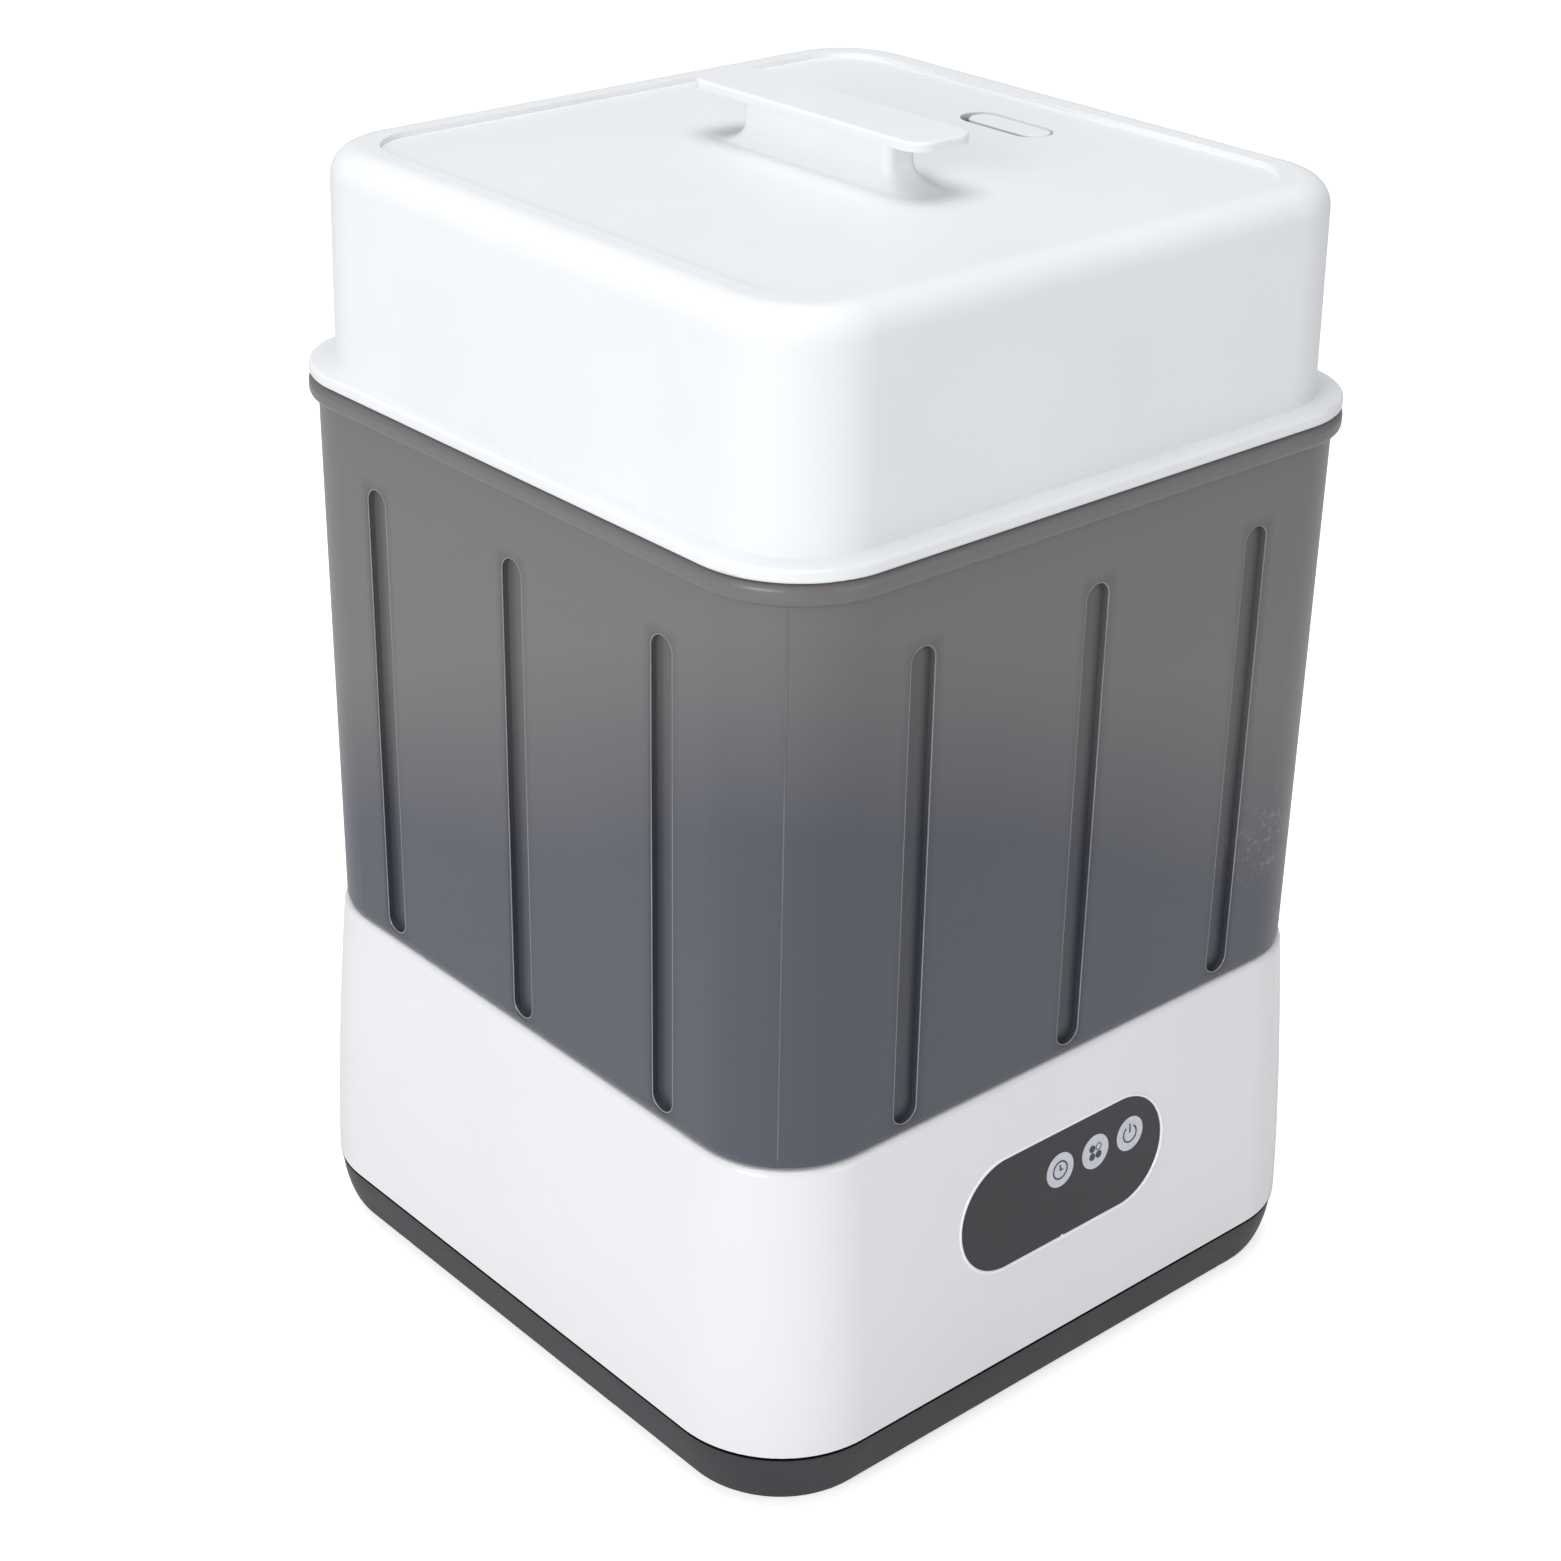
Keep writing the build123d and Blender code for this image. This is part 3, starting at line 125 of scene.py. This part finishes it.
# Materials of this scene alone, for the small pieces modelled here and the vent insert
extras = {
    "symbol_ink": {"pale": (0.050, 0.052, 0.066), "deep": (0.035, 0.037, 0.048), "rough": (0.3, 0.4),
                   "patch": 900, "grain": 2500, "relief": 0.000005, "coat": 0.0},
    # Groove edges: paler than the chamber, a painted highlight
    "smoke_edge_highlight": {"pale": (0.27, 0.27, 0.285), "deep": (0.20, 0.20, 0.215), "rough": (0.16, 0.24),
                   "patch": 40, "grain": 900, "relief": 0.00001, "coat": 0.5},
    "smoke_line": {"pale": (0.150, 0.148, 0.155), "deep": (0.115, 0.115, 0.124), "rough": (0.3, 0.38),
                   "patch": 40, "grain": 900, "relief": 0.00001, "coat": 0.1},
    # Black of the joint bead, a painted shadow
    "joint_shadow_black": {"pale": (0.006, 0.006, 0.007), "deep": (0.003, 0.003, 0.003), "rough": (0.9, 1.0),
                    "patch": 40, "grain": 900, "relief": 0.00001, "coat": 0.0, "specular": 0.0},
    # Panel bead: whiter than the housing, a painted highlight
    "edge_white_highlight": {"pale": (0.92, 0.92, 0.93), "deep": (0.88, 0.88, 0.895), "rough": (0.14, 0.2),
                   "patch": 60, "grain": 900, "relief": 0.00001, "coat": 0.5},
    # Vent insert: dark painted shade below its line, its own white above it
    "vent_white_painted_shade": {"pale": (0.14, 0.145, 0.15), "deep": (0.11, 0.115, 0.12), "rough": (0.44, 0.52),
                   "patch": 18, "grain": 2200, "relief": 0.00004, "coat": 0.0, "line": (0.3706, 0.3722),
                   "lineColour": (0.82, 0.835, 0.85)},
}
# How the noise, relief and coat of every material are set
finish = {"noiseLow": 0.3, "noiseHigh": 0.7, "reliefStrength": 0.6, "coatRough": 0.08}
metalFinish = {"dragDetail": 4.0, "stainScale": 40.0, "blend": (0.12, 0.38), "relief": 0.00002}
materials = {}


def startMaterial(name):
    material = bpy.data.materials.new(name)
    material.use_nodes = True
    tree = material.node_tree
    return material, tree, tree.nodes["Principled BSDF"]


def addNode(tree, kind, **values):
    node = tree.nodes.new(kind)
    for key, value in values.items():
        setattr(node, key, value)
    return node


def noiseOn(tree, vector, scale, detail=3.0):
    noise = addNode(tree, "ShaderNodeTexNoise")
    noise.inputs["Scale"].default_value = scale
    noise.inputs["Detail"].default_value = detail
    tree.links.new(vector, noise.inputs["Vector"])
    return noise.outputs["Fac"]


def mapRange(tree, value, low, high, toLow, toHigh):
    node = addNode(tree, "ShaderNodeMapRange")
    for key, number in (("From Min", low), ("From Max", high), ("To Min", toLow), ("To Max", toHigh)):
        node.inputs[key].default_value = number
    tree.links.new(value, node.inputs["Value"])
    return node.outputs["Result"]


def spreadNoise(tree, noise, low, high):
    return mapRange(tree, noise, finish["noiseLow"], finish["noiseHigh"], low, high)


def math2(tree, operation, a, b):
    node = addNode(tree, "ShaderNodeMath", operation=operation)
    for index, value in enumerate((a, b)):
        if isinstance(value, (int, float)):
            node.inputs[index].default_value = value
        else:
            tree.links.new(value, node.inputs[index])
    return node.outputs["Value"]


def mixColour(tree, factor, a, b):
    node = addNode(tree, "ShaderNodeMix", data_type="RGBA")
    tree.links.new(factor, node.inputs["Factor"])
    for key, value in (("A", a), ("B", b)):
        socket = [i for i in node.inputs if i.name == key and i.type == "RGBA"][0]
        if isinstance(value, tuple):
            socket.default_value = (*value, 1.0)
        else:
            tree.links.new(value, socket)
    return [o for o in node.outputs if o.type == "RGBA"][0]


def addRelief(tree, shader, height, distance):
    bump = addNode(tree, "ShaderNodeBump")
    bump.inputs["Strength"].default_value = finish["reliefStrength"]
    bump.inputs["Distance"].default_value = distance
    tree.links.new(height, bump.inputs["Height"])
    tree.links.new(bump.outputs["Normal"], shader.inputs["Normal"])


def objectVector(tree, stretch=None):
    coordinates = addNode(tree, "ShaderNodeTexCoord").outputs["Object"]
    if stretch is None:
        return coordinates
    mapping = addNode(tree, "ShaderNodeMapping")
    mapping.inputs["Scale"].default_value = stretch
    tree.links.new(coordinates, mapping.inputs["Vector"])
    return mapping.outputs["Vector"]


def makePlastic(name, s):
    material, tree, shader = startMaterial(name)
    vector = objectVector(tree)
    patches = spreadNoise(tree, noiseOn(tree, vector, s["patch"]), 0.0, 1.0)
    colour = mixColour(tree, patches, s["deep"], s["pale"])
    # On the bottom cover this paints a shadow along its top edge; on the vent insert the colour below the
    # height is painted shade
    if "line" in s:      # another colour above this height
        axes = addNode(tree, "ShaderNodeSeparateXYZ")
        tree.links.new(vector, axes.inputs["Vector"])
        above = mapRange(tree, axes.outputs["Z"], *s["line"], 0.0, 1.0)
        colour = mixColour(tree, above, colour, s["lineColour"])
    tree.links.new(colour, shader.inputs["Base Color"])
    grain = noiseOn(tree, vector, s["grain"], 2.0)
    tree.links.new(spreadNoise(tree, grain, *s["rough"]), shader.inputs["Roughness"])
    addRelief(tree, shader, grain, s["relief"])
    shader.inputs["Coat Weight"].default_value = s["coat"]
    shader.inputs["Coat Roughness"].default_value = finish["coatRough"]
    if "specular" in s:
        shader.inputs["Specular IOR Level"].default_value = s["specular"]
    return material


def makeMetal(name, s):
    material, tree, shader = startMaterial(name)
    drag = noiseOn(tree, objectVector(tree, s["drag"]), 1.0, metalFinish["dragDetail"])
    stain = noiseOn(tree, objectVector(tree), metalFinish["stainScale"])
    blend = mapRange(tree, math2(tree, "MULTIPLY", drag, stain), *metalFinish["blend"], 0.0, 1.0)
    tree.links.new(mixColour(tree, blend, s["deep"], s["pale"]), shader.inputs["Base Color"])
    tree.links.new(spreadNoise(tree, drag, *s["rough"]), shader.inputs["Roughness"])
    addRelief(tree, shader, drag, metalFinish["relief"])
    shader.inputs["Metallic"].default_value = 1.0
    return material


# Smoked chamber: warm grey above, cooler and darker below, a few scuffs low on the front.
# The change of colour lies lower away from the front left corner, and the grooves have painted shade.
smoke = {
    "top": (0.150, 0.143, 0.143), "foot": (0.066, 0.073, 0.094), "changeLow": 0.240, "changeHigh": 0.305,
    "waviness": 0.04, "waveScale": 7.0, "lean": 0.46, "leanReach": 0.23, "corner": 0.237,
    "rough": (0.33, 0.40), "grain": 1600.0, "relief": 0.00003, "coat": 0.12, "coatRough": 0.3,
    "scuffPlace": (0.088, -0.118, 0.166), "scuffReach": 0.022, "scuffScale": 520.0, "scuffDetail": 5.0,
    "scuffNoise": (0.56, 0.66), "scuffStrength": 0.8, "scuffColour": (0.20, 0.195, 0.195),
    "half": 0.1185, "groovePitch": 0.068, "grooveEdge": 0.0048, "grooveEnds": (0.1245, 0.2775),
    "haloReach": 0.0032, "haloShade": 0.76, "floorDepth": (0.0008, 0.0024), "floorShade": 0.86,
    "shadow": (0.012, 0.010, 0.009),
}


def shadeGrooves(tree, axes, colour, s):
    across = math2(tree, "ABSOLUTE", axes.outputs["X"], 0)
    along = math2(tree, "ABSOLUTE", axes.outputs["Y"], 0)
    side = math2(tree, "MINIMUM", across, along)
    sunk = math2(tree, "SUBTRACT", s["half"], math2(tree, "MAXIMUM", across, along))
    offset = math2(tree, "ABSOLUTE", math2(tree, "SUBTRACT", side, s["groovePitch"]), 0)
    away = math2(tree, "MINIMUM", side, offset)
    halo = mapRange(tree, away, s["grooveEdge"], s["grooveEdge"] + s["haloReach"], 1.0, 0.0)
    low, high = s["grooveEnds"]
    above = mapRange(tree, axes.outputs["Z"], low - s["haloReach"], low, 0.0, 1.0)
    below = mapRange(tree, axes.outputs["Z"], high, high + s["haloReach"], 1.0, 0.0)
    halo = math2(tree, "MULTIPLY", halo, math2(tree, "MULTIPLY", above, below))
    floor = mapRange(tree, sunk, *s["floorDepth"], 0.0, 1.0)
    floor = math2(tree, "MULTIPLY", floor, math2(tree, "LESS_THAN", away, s["grooveEdge"]))
    darker = math2(tree, "MULTIPLY", halo, 1 - s["haloShade"])
    darker = math2(tree, "MAXIMUM", darker, math2(tree, "MULTIPLY", floor, 1 - s["floorShade"]))
    return mixColour(tree, darker, colour, s["shadow"])


def makeSmoke(s):
    material, tree, shader = startMaterial("chamber_smoke")
    vector = objectVector(tree)
    axes = addNode(tree, "ShaderNodeSeparateXYZ")
    tree.links.new(vector, axes.inputs["Vector"])
    wave = math2(tree, "MULTIPLY", noiseOn(tree, vector, s["waveScale"], 1.0), s["waviness"])
    fromCorner = math2(tree, "ADD", math2(tree, "ADD", axes.outputs["X"], axes.outputs["Y"]), s["corner"])
    leaning = mapRange(tree, fromCorner, 0.0, s["leanReach"], 0.0, s["lean"] * s["leanReach"])
    wavy = math2(tree, "ADD", leaning, math2(tree, "SUBTRACT", wave, s["waviness"] / 2))
    height = math2(tree, "ADD", axes.outputs["Z"], wavy)
    climb = mapRange(tree, height, s["changeLow"], s["changeHigh"], 0.0, 1.0)
    body = shadeGrooves(tree, axes, mixColour(tree, climb, s["foot"], s["top"]), s)
    away = addNode(tree, "ShaderNodeVectorMath", operation="DISTANCE")
    tree.links.new(vector, away.inputs[0])
    away.inputs[1].default_value = s["scuffPlace"]
    near = mapRange(tree, away.outputs["Value"], s["scuffReach"] / 3, s["scuffReach"], 1.0, 0.0)
    scratches = noiseOn(tree, vector, s["scuffScale"], s["scuffDetail"])
    specks = mapRange(tree, scratches, *s["scuffNoise"], 0.0, s["scuffStrength"])
    scuffs = math2(tree, "MULTIPLY", near, specks)
    tree.links.new(mixColour(tree, scuffs, body, s["scuffColour"]), shader.inputs["Base Color"])
    grain = noiseOn(tree, vector, s["grain"], 2.0)
    tree.links.new(spreadNoise(tree, grain, *s["rough"]), shader.inputs["Roughness"])
    addRelief(tree, shader, grain, s["relief"])
    shader.inputs["Coat Weight"].default_value = s["coat"]
    shader.inputs["Coat Roughness"].default_value = s["coatRough"]
    return material


# Circuit boards: green fields with paler tracks
board = {
    "scale": 160.0, "mortar": 0.03, "field": (0.035, 0.16, 0.075, 1), "otherField": (0.045, 0.19, 0.09, 1),
    "track": (0.07, 0.26, 0.12, 1), "grain": 600.0, "rough": (0.3, 0.45), "relief": 0.00004,
}


def makeBoard(name, s):
    material, tree, shader = startMaterial(name)
    vector = objectVector(tree)
    tracks = addNode(tree, "ShaderNodeTexBrick")
    tracks.inputs["Scale"].default_value = s["scale"]
    tracks.inputs["Mortar Size"].default_value = s["mortar"]
    tracks.inputs["Color1"].default_value = s["field"]
    tracks.inputs["Color2"].default_value = s["otherField"]
    tracks.inputs["Mortar"].default_value = s["track"]
    tree.links.new(vector, tracks.inputs["Vector"])
    tree.links.new(tracks.outputs["Color"], shader.inputs["Base Color"])
    grain = noiseOn(tree, vector, s["grain"])
    tree.links.new(spreadNoise(tree, grain, *s["rough"]), shader.inputs["Roughness"])
    addRelief(tree, shader, tracks.outputs["Fac"], s["relief"])
    return material


# Filter foam: open cells, dark in their depth
foam = {
    "scale": 700.0, "depth": (0.1, 0.6), "deep": (0.16, 0.165, 0.17), "pale": (0.46, 0.47, 0.48),
    "rough": (0.8, 0.95), "relief": 0.0004,
}


def makeFoam(name, s):
    material, tree, shader = startMaterial(name)
    cells = addNode(tree, "ShaderNodeTexVoronoi")
    cells.inputs["Scale"].default_value = s["scale"]
    tree.links.new(objectVector(tree), cells.inputs["Vector"])
    depth = mapRange(tree, cells.outputs["Distance"], *s["depth"], 0.0, 1.0)
    tree.links.new(mixColour(tree, depth, s["deep"], s["pale"]), shader.inputs["Base Color"])
    tree.links.new(mapRange(tree, depth, 0.0, 1.0, *s["rough"]), shader.inputs["Roughness"])
    addRelief(tree, shader, depth, s["relief"])
    return material


for slotName, settings in plastics.items():
    materials[slotName] = makePlastic(slotName, settings)
for slotName, settings in metals.items():
    materials[slotName] = makeMetal(slotName, settings)
materials["chamber_smoke"] = makeSmoke(smoke)
materials["board_green"] = makeBoard("board_green", board)
materials["filter_foam"] = makeFoam("filter_foam", foam)
for extraName, settings in extras.items():
    materials[extraName] = makePlastic(extraName, settings)

for part in frame["record"]["subparts"]:
    mesh = nodes[part["node"]].data
    mesh.materials.clear()
    mesh.materials.append(materials[part["material_slot"]])
# The vent insert takes the white with painted shade low in the slot
nodes["vent_insert"].data.materials[0] = materials["vent_white_painted_shade"]
print("materials made:", len(materials))


# Helpers for the pieces that are modelled here
def selectNothing():
    bpy.ops.object.select_all(action="DESELECT")


def editing():
    bpy.ops.object.mode_set(mode="EDIT")


def leaveEditing():
    bpy.ops.object.mode_set(mode="OBJECT")


def selectWhere(obj, test):
    bpy.ops.mesh.select_all(action="DESELECT")
    leaveEditing()
    for vertex in obj.data.vertices:
        vertex.select = test(vertex.co)
    editing()


def placePiece(obj, matrix):
    obj.data.transform(matrix @ obj.matrix_world)
    obj.matrix_world = Matrix.Identity(4)


def stretchedRing(name, radius, bead, stretches, steps):
    sideGap = 1e-6      # vertices on the middle line stay
    selectNothing()
    bpy.ops.mesh.primitive_torus_add(major_segments=steps[0], minor_segments=steps[1],
                                     major_radius=radius, minor_radius=bead)
    ring = bpy.context.object
    ring.name = name
    for axis, distance in stretches:
        for side in (-1, 1):
            move = [0, 0, 0]
            move[axis] = side * distance
            editing()
            selectWhere(ring, lambda p: p[axis] * side > sideGap)
            bpy.ops.transform.translate(value=move)
            leaveEditing()
    bpy.ops.object.shade_smooth()
    return ring


def finishPiece(obj, body, materialName):
    obj.data.materials.clear()
    obj.data.materials.append(materials[materialName])
    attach(obj, body)


# The control panel's own plane, read from the lens
def panelFrame():
    forward = -0.9      # faces that look to the front
    lens = nodes["panel_lens"].data
    outer = [p for p in lens.polygons if p.normal.y < forward]
    face = max(outer, key=lambda p: p.area)
    low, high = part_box("panel_lens")
    middle = (low + high) / 2
    normal = face.normal.normalized()
    return middle, normal, normal.dot(face.center)


lensMiddle, lensNormal, lensDistance = panelFrame()


def panelMatrix(x, z, lift):
    y = (lensDistance - lensNormal.x * x - lensNormal.z * z) / lensNormal.y
    across = Vector((1, 0, 0))
    up = lensNormal.cross(across)
    turn = Matrix((across, up, lensNormal)).transposed().to_4x4()
    return Matrix.Translation(Vector((x, y, z)) + lensNormal * lift) @ turn


print("panel plane", tuple(round(v, 4) for v in lensNormal))


# Symbols printed on the three touch marks
symbols = {
    "lift": 0.00002, "height": 0.00006, "ringSteps": 72, "discSteps": 48,
    "clockRadius": 0.0033, "clockStroke": 0.00056, "handLength": 0.0018, "shortHand": 0.8,
    "petalRadius": 0.00130, "petalPlace": 0.00142, "petalStroke": 0.00030,
    "powerRadius": 0.0032, "powerStroke": 0.00056, "powerGap": 0.6, "barLength": 0.0032, "barRise": 0.0004,
}


def thicken(obj, height):
    bpy.ops.mesh.select_all(action="SELECT")
    bpy.ops.mesh.extrude_region_move(TRANSFORM_OT_translate={"value": (0, 0, height)})
    bpy.ops.mesh.select_all(action="SELECT")
    bpy.ops.mesh.normals_make_consistent(inside=False)
    leaveEditing()


def flatRing(name, radius, stroke, height, place=(0, 0), gap=0.0):
    selectNothing()
    bpy.ops.mesh.primitive_circle_add(vertices=symbols["ringSteps"], radius=radius, fill_type="NOTHING")
    ring = bpy.context.object
    ring.name = name
    editing()
    if gap:
        selectWhere(ring, lambda p: p.y > 0 and abs(math.atan2(p.x, p.y)) < gap)
        bpy.ops.mesh.delete(type="VERT")
    bpy.ops.mesh.select_mode(type="EDGE")
    bpy.ops.mesh.select_all(action="SELECT")
    bpy.ops.mesh.extrude_edges_move()
    inner = 1 - stroke / radius
    bpy.ops.transform.resize(value=(inner, inner, 1), center_override=(0, 0, 0))
    bpy.ops.mesh.select_mode(type="VERT")
    thicken(ring, height)
    placePiece(ring, Matrix.Translation((*place, 0)))
    return ring


def flatDisc(name, radius, height, place):
    selectNothing()
    bpy.ops.mesh.primitive_circle_add(vertices=symbols["discSteps"], radius=radius, fill_type="NGON")
    disc = bpy.context.object
    disc.name = name
    editing()
    thicken(disc, height)
    placePiece(disc, Matrix.Translation((*place, 0)))
    return disc


def flatBar(name, width, length, height, place):
    selectNothing()
    bpy.ops.mesh.primitive_plane_add(size=1)
    bar = bpy.context.object
    bar.name = name
    bar.scale = (width, length, 1)
    bpy.ops.object.transform_apply(location=False, rotation=False, scale=True)
    editing()
    thicken(bar, height)
    placePiece(bar, Matrix.Translation((*place, 0)))
    return bar


def joinPieces(pieces, name):
    selectNothing()
    for piece in pieces:
        piece.select_set(True)
    bpy.context.view_layer.objects.active = pieces[0]
    bpy.ops.object.join()
    pieces[0].name = name
    return pieces[0]


def putOnMark(piece, mark):
    low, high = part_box(mark)
    middle = (low + high) / 2
    placePiece(piece, panelMatrix(middle.x, middle.z, symbols["lift"]))
    finishPiece(piece, "base", "symbol_ink")


def makeSymbols(s):
    tall = s["height"]
    hand = s["handLength"]
    shortHand = hand * s["shortHand"]
    stroke = s["clockStroke"]
    clock = joinPieces([
        flatRing("clockRing", s["clockRadius"], stroke, tall),
        flatBar("clockHand", stroke, hand, tall, (0, hand / 2)),
        flatBar("clockShortHand", shortHand, stroke, tall, ((shortHand - stroke) / 2, 0))], "timer_symbol")
    side = s["petalPlace"]
    places = ((-side, side), (-side, -side), (side, -side))
    petals = [flatDisc("petal", s["petalRadius"], tall, place) for place in places]
    petals.append(flatRing("openPetal", s["petalRadius"], s["petalStroke"], tall, (side, side)))
    mode = joinPieces(petals, "mode_symbol")
    barMiddle = s["powerRadius"] - s["barLength"] / 2 + s["barRise"]
    power = joinPieces([
        flatRing("powerRing", s["powerRadius"], s["powerStroke"], tall, gap=s["powerGap"]),
        flatBar("powerBar", s["powerStroke"], s["barLength"], tall, (0, barMiddle))], "power_symbol")
    for piece, mark in ((clock, "touch_timer"), (mode, "touch_mode"), (power, "touch_power")):
        putOnMark(piece, mark)


makeSymbols(symbols)
print("symbols made")

# Fine bead round the control panel, whiter than the housing to paint the highlight on the edge of its recess,
# with the small gate mark on its lower edge
bead = {
    "radius": 0.00058, "outset": 0.0001, "lift": 0.00005, "steps": (96, 12),
    "nubRadius": 0.0007, "nubPlace": -0.0005, "nubShape": (1.0, 0.9, 0.5),
    "nubRise": 0.5, "nubSteps": (24, 12),
}


def makeBead(s):
    low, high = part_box("panel_lens")
    half = (high.z - low.z) / 2 / abs(lensNormal.y) + s["outset"]
    straight = (high.x - low.x) / 2 + s["outset"] - half
    ring = stretchedRing("panel_bead", half, s["radius"], ((0, straight),), s["steps"])
    selectNothing()
    bpy.ops.mesh.primitive_uv_sphere_add(segments=s["nubSteps"][0], ring_count=s["nubSteps"][1],
                                         radius=s["nubRadius"])
    nub = bpy.context.object
    nub.scale = s["nubShape"]
    nub.location = (s["nubPlace"], -half + s["nubRadius"] * s["nubRise"], 0)
    bpy.ops.object.transform_apply(location=True, rotation=False, scale=True)
    ring = joinPieces([ring, nub], "panel_bead")
    selectNothing()
    ring.select_set(True)
    bpy.ops.object.shade_smooth()
    placePiece(ring, panelMatrix(lensMiddle.x, lensMiddle.z, s["lift"]))
    finishPiece(ring, "base", "edge_white_highlight")


makeBead(bead)
print("panel bead made")

# Mould parting line down the chamber's front left corner and the corner opposite
parting = {
    "width": 0.0005, "proud": 0.00014, "below": 0.004, "above": 0.003, "cornerCentre": 0.0875,
    "rimReach": 0.0028,      # how far the rim stands out from the wall
    "bevel": 0.2, "bevelSteps": 2,
}


def makeParting(s):
    low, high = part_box("chamber")
    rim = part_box("lid_shell")[0].z
    bottom = low.z + s["below"]
    top = min(high.z, rim) - s["above"]
    half = abs(low.x) - s["rimReach"]
    reach = s["cornerCentre"] + (half - s["cornerCentre"]) / math.sqrt(2)
    strips = []
    for side in (-1, 1):
        selectNothing()
        bpy.ops.mesh.primitive_cube_add(size=1)
        strip = bpy.context.object
        strip.scale = (s["width"], s["width"], top - bottom)
        bpy.ops.object.transform_apply(location=False, rotation=False, scale=True)
        editing()
        bpy.ops.mesh.select_all(action="SELECT")
        bpy.ops.mesh.bevel(offset=s["width"] * s["bevel"], segments=s["bevelSteps"], affect="EDGES")
        leaveEditing()
        lift = (s["width"] / 2 - s["proud"]) / math.sqrt(2)
        place = Vector((side * (reach - lift), side * (reach - lift), (top + bottom) / 2))
        placePiece(strip, Matrix.Translation(place) @ Matrix.Rotation(math.pi / 4, 4, "Z"))
        strips.append(strip)
    finishPiece(joinPieces(strips, "parting_lines"), "chamber", "smoke_line")


makeParting(parting)
print("parting lines made")

# Rolled edge round each of the chamber's grooves that catches the lamps, in a smoke paler than the chamber's
# own as a painted highlight
grooveEdge = {"radius": 0.0047, "bead": 0.00024, "sunk": 0.00045, "steps": (48, 8)}


def makeGrooveEdges(s):
    foot, top = smoke["grooveEnds"]
    pitch = smoke["groovePitch"]
    straight = (top - foot) / 2 - s["radius"]
    edges = []
    for quarter in range(4):
        for place in (-pitch, 0, pitch):
            ring = stretchedRing("grooveRing", s["radius"], s["bead"], ((1, straight),), s["steps"])
            stand = (Matrix.Rotation(quarter * math.pi / 2, 4, "Z")
                     @ Matrix.Translation((place, s["sunk"] - smoke["half"], (top + foot) / 2))
                     @ Matrix.Rotation(math.pi / 2, 4, "X"))
            placePiece(ring, stand)
            edges.append(ring)
    finishPiece(joinPieces(edges, "groove_edges"), "chamber", "smoke_edge_highlight")


makeGrooveEdges(grooveEdge)
print("groove edges made")

# Thin black bead in the mouth of the joint over the bottom cover, a dark piece that stands for the shadow in
# the joint
shadowJoint = {"centre": 0.0875, "half": 0.12555, "bead": 0.00035, "height": 0.0221, "steps": (96, 10)}


def makeShadowJoint(s):
    stretches = ((0, s["centre"]), (1, s["centre"]))
    ring = stretchedRing("shadow_joint", s["half"] - s["centre"], s["bead"], stretches, s["steps"])
    placePiece(ring, Matrix.Translation((0, 0, s["height"])))
    finishPiece(ring, "base", "joint_shadow_black")


makeShadowJoint(shadowJoint)
print("shadow joint made")

# Studio: pale floor, white surround and three soft lamps
studio = {
    "surround": (1.0, 1.0, 1.0), "fill": (0.97, 0.98, 1.0), "fillStrength": 0.42, "floorSize": 12.0,
    "floorColour": (0.84, 0.84, 0.845), "floorRough": 0.9, "floorLift": 0.62,
    "lamps": (
        {"name": "leftLamp", "place": (-2.25, -0.75, 1.0), "size": 1.0, "power": 29},
        {"name": "frontLamp", "place": (0.9, -2.6, 1.0), "size": 1.6, "power": 11},
        {"name": "topLamp", "place": (-0.2, 0.2, 2.6), "size": 1.8, "power": 32},
    ),
    "aim": (0, 0, 0.2),
}


def makeWorld(s):
    world = bpy.data.worlds.new("surround")
    bpy.context.scene.world = world
    world.use_nodes = True
    tree = world.node_tree
    tree.nodes.clear()
    path = addNode(tree, "ShaderNodeLightPath")
    fill = addNode(tree, "ShaderNodeBackground")
    fill.inputs["Color"].default_value = (*s["fill"], 1)
    fill.inputs["Strength"].default_value = s["fillStrength"]
    white = addNode(tree, "ShaderNodeBackground")
    white.inputs["Color"].default_value = (*s["surround"], 1)
    blend = addNode(tree, "ShaderNodeMixShader")
    out = addNode(tree, "ShaderNodeOutputWorld")
    seen = math2(tree, "MAXIMUM", path.outputs["Is Camera Ray"], path.outputs["Is Transmission Ray"])
    tree.links.new(seen, blend.inputs[0])
    tree.links.new(fill.outputs[0], blend.inputs[1])
    tree.links.new(white.outputs[0], blend.inputs[2])
    tree.links.new(blend.outputs[0], out.inputs[0])


def makeFloor(s):
    selectNothing()
    bpy.ops.mesh.primitive_plane_add(size=s["floorSize"])
    floor = bpy.context.object
    floor.name = "floor"
    material, tree, shader = startMaterial("floor_paper")
    shader.inputs["Base Color"].default_value = (*s["floorColour"], 1)
    shader.inputs["Roughness"].default_value = s["floorRough"]
    shader.inputs["Specular IOR Level"].default_value = 0.0
    path = addNode(tree, "ShaderNodeLightPath")
    tree.links.new(math2(tree, "MULTIPLY", path.outputs["Is Camera Ray"], s["floorLift"]),
                   shader.inputs["Emission Strength"])
    shader.inputs["Emission Color"].default_value = (1, 1, 1, 1)
    floor.data.materials.append(material)


def makeLamp(s, aim):
    data = bpy.data.lights.new(s["name"], "AREA")
    data.size = s["size"]
    data.energy = s["power"]
    lamp = bpy.data.objects.new(s["name"], data)
    bpy.context.scene.collection.objects.link(lamp)
    lamp.location = s["place"]
    lamp.rotation_euler = (Vector(aim) - Vector(s["place"])).to_track_quat("-Z", "Y").to_euler()


makeWorld(studio)
makeFloor(studio)
for lampSettings in studio["lamps"]:
    makeLamp(lampSettings, studio["aim"])
print("studio set")
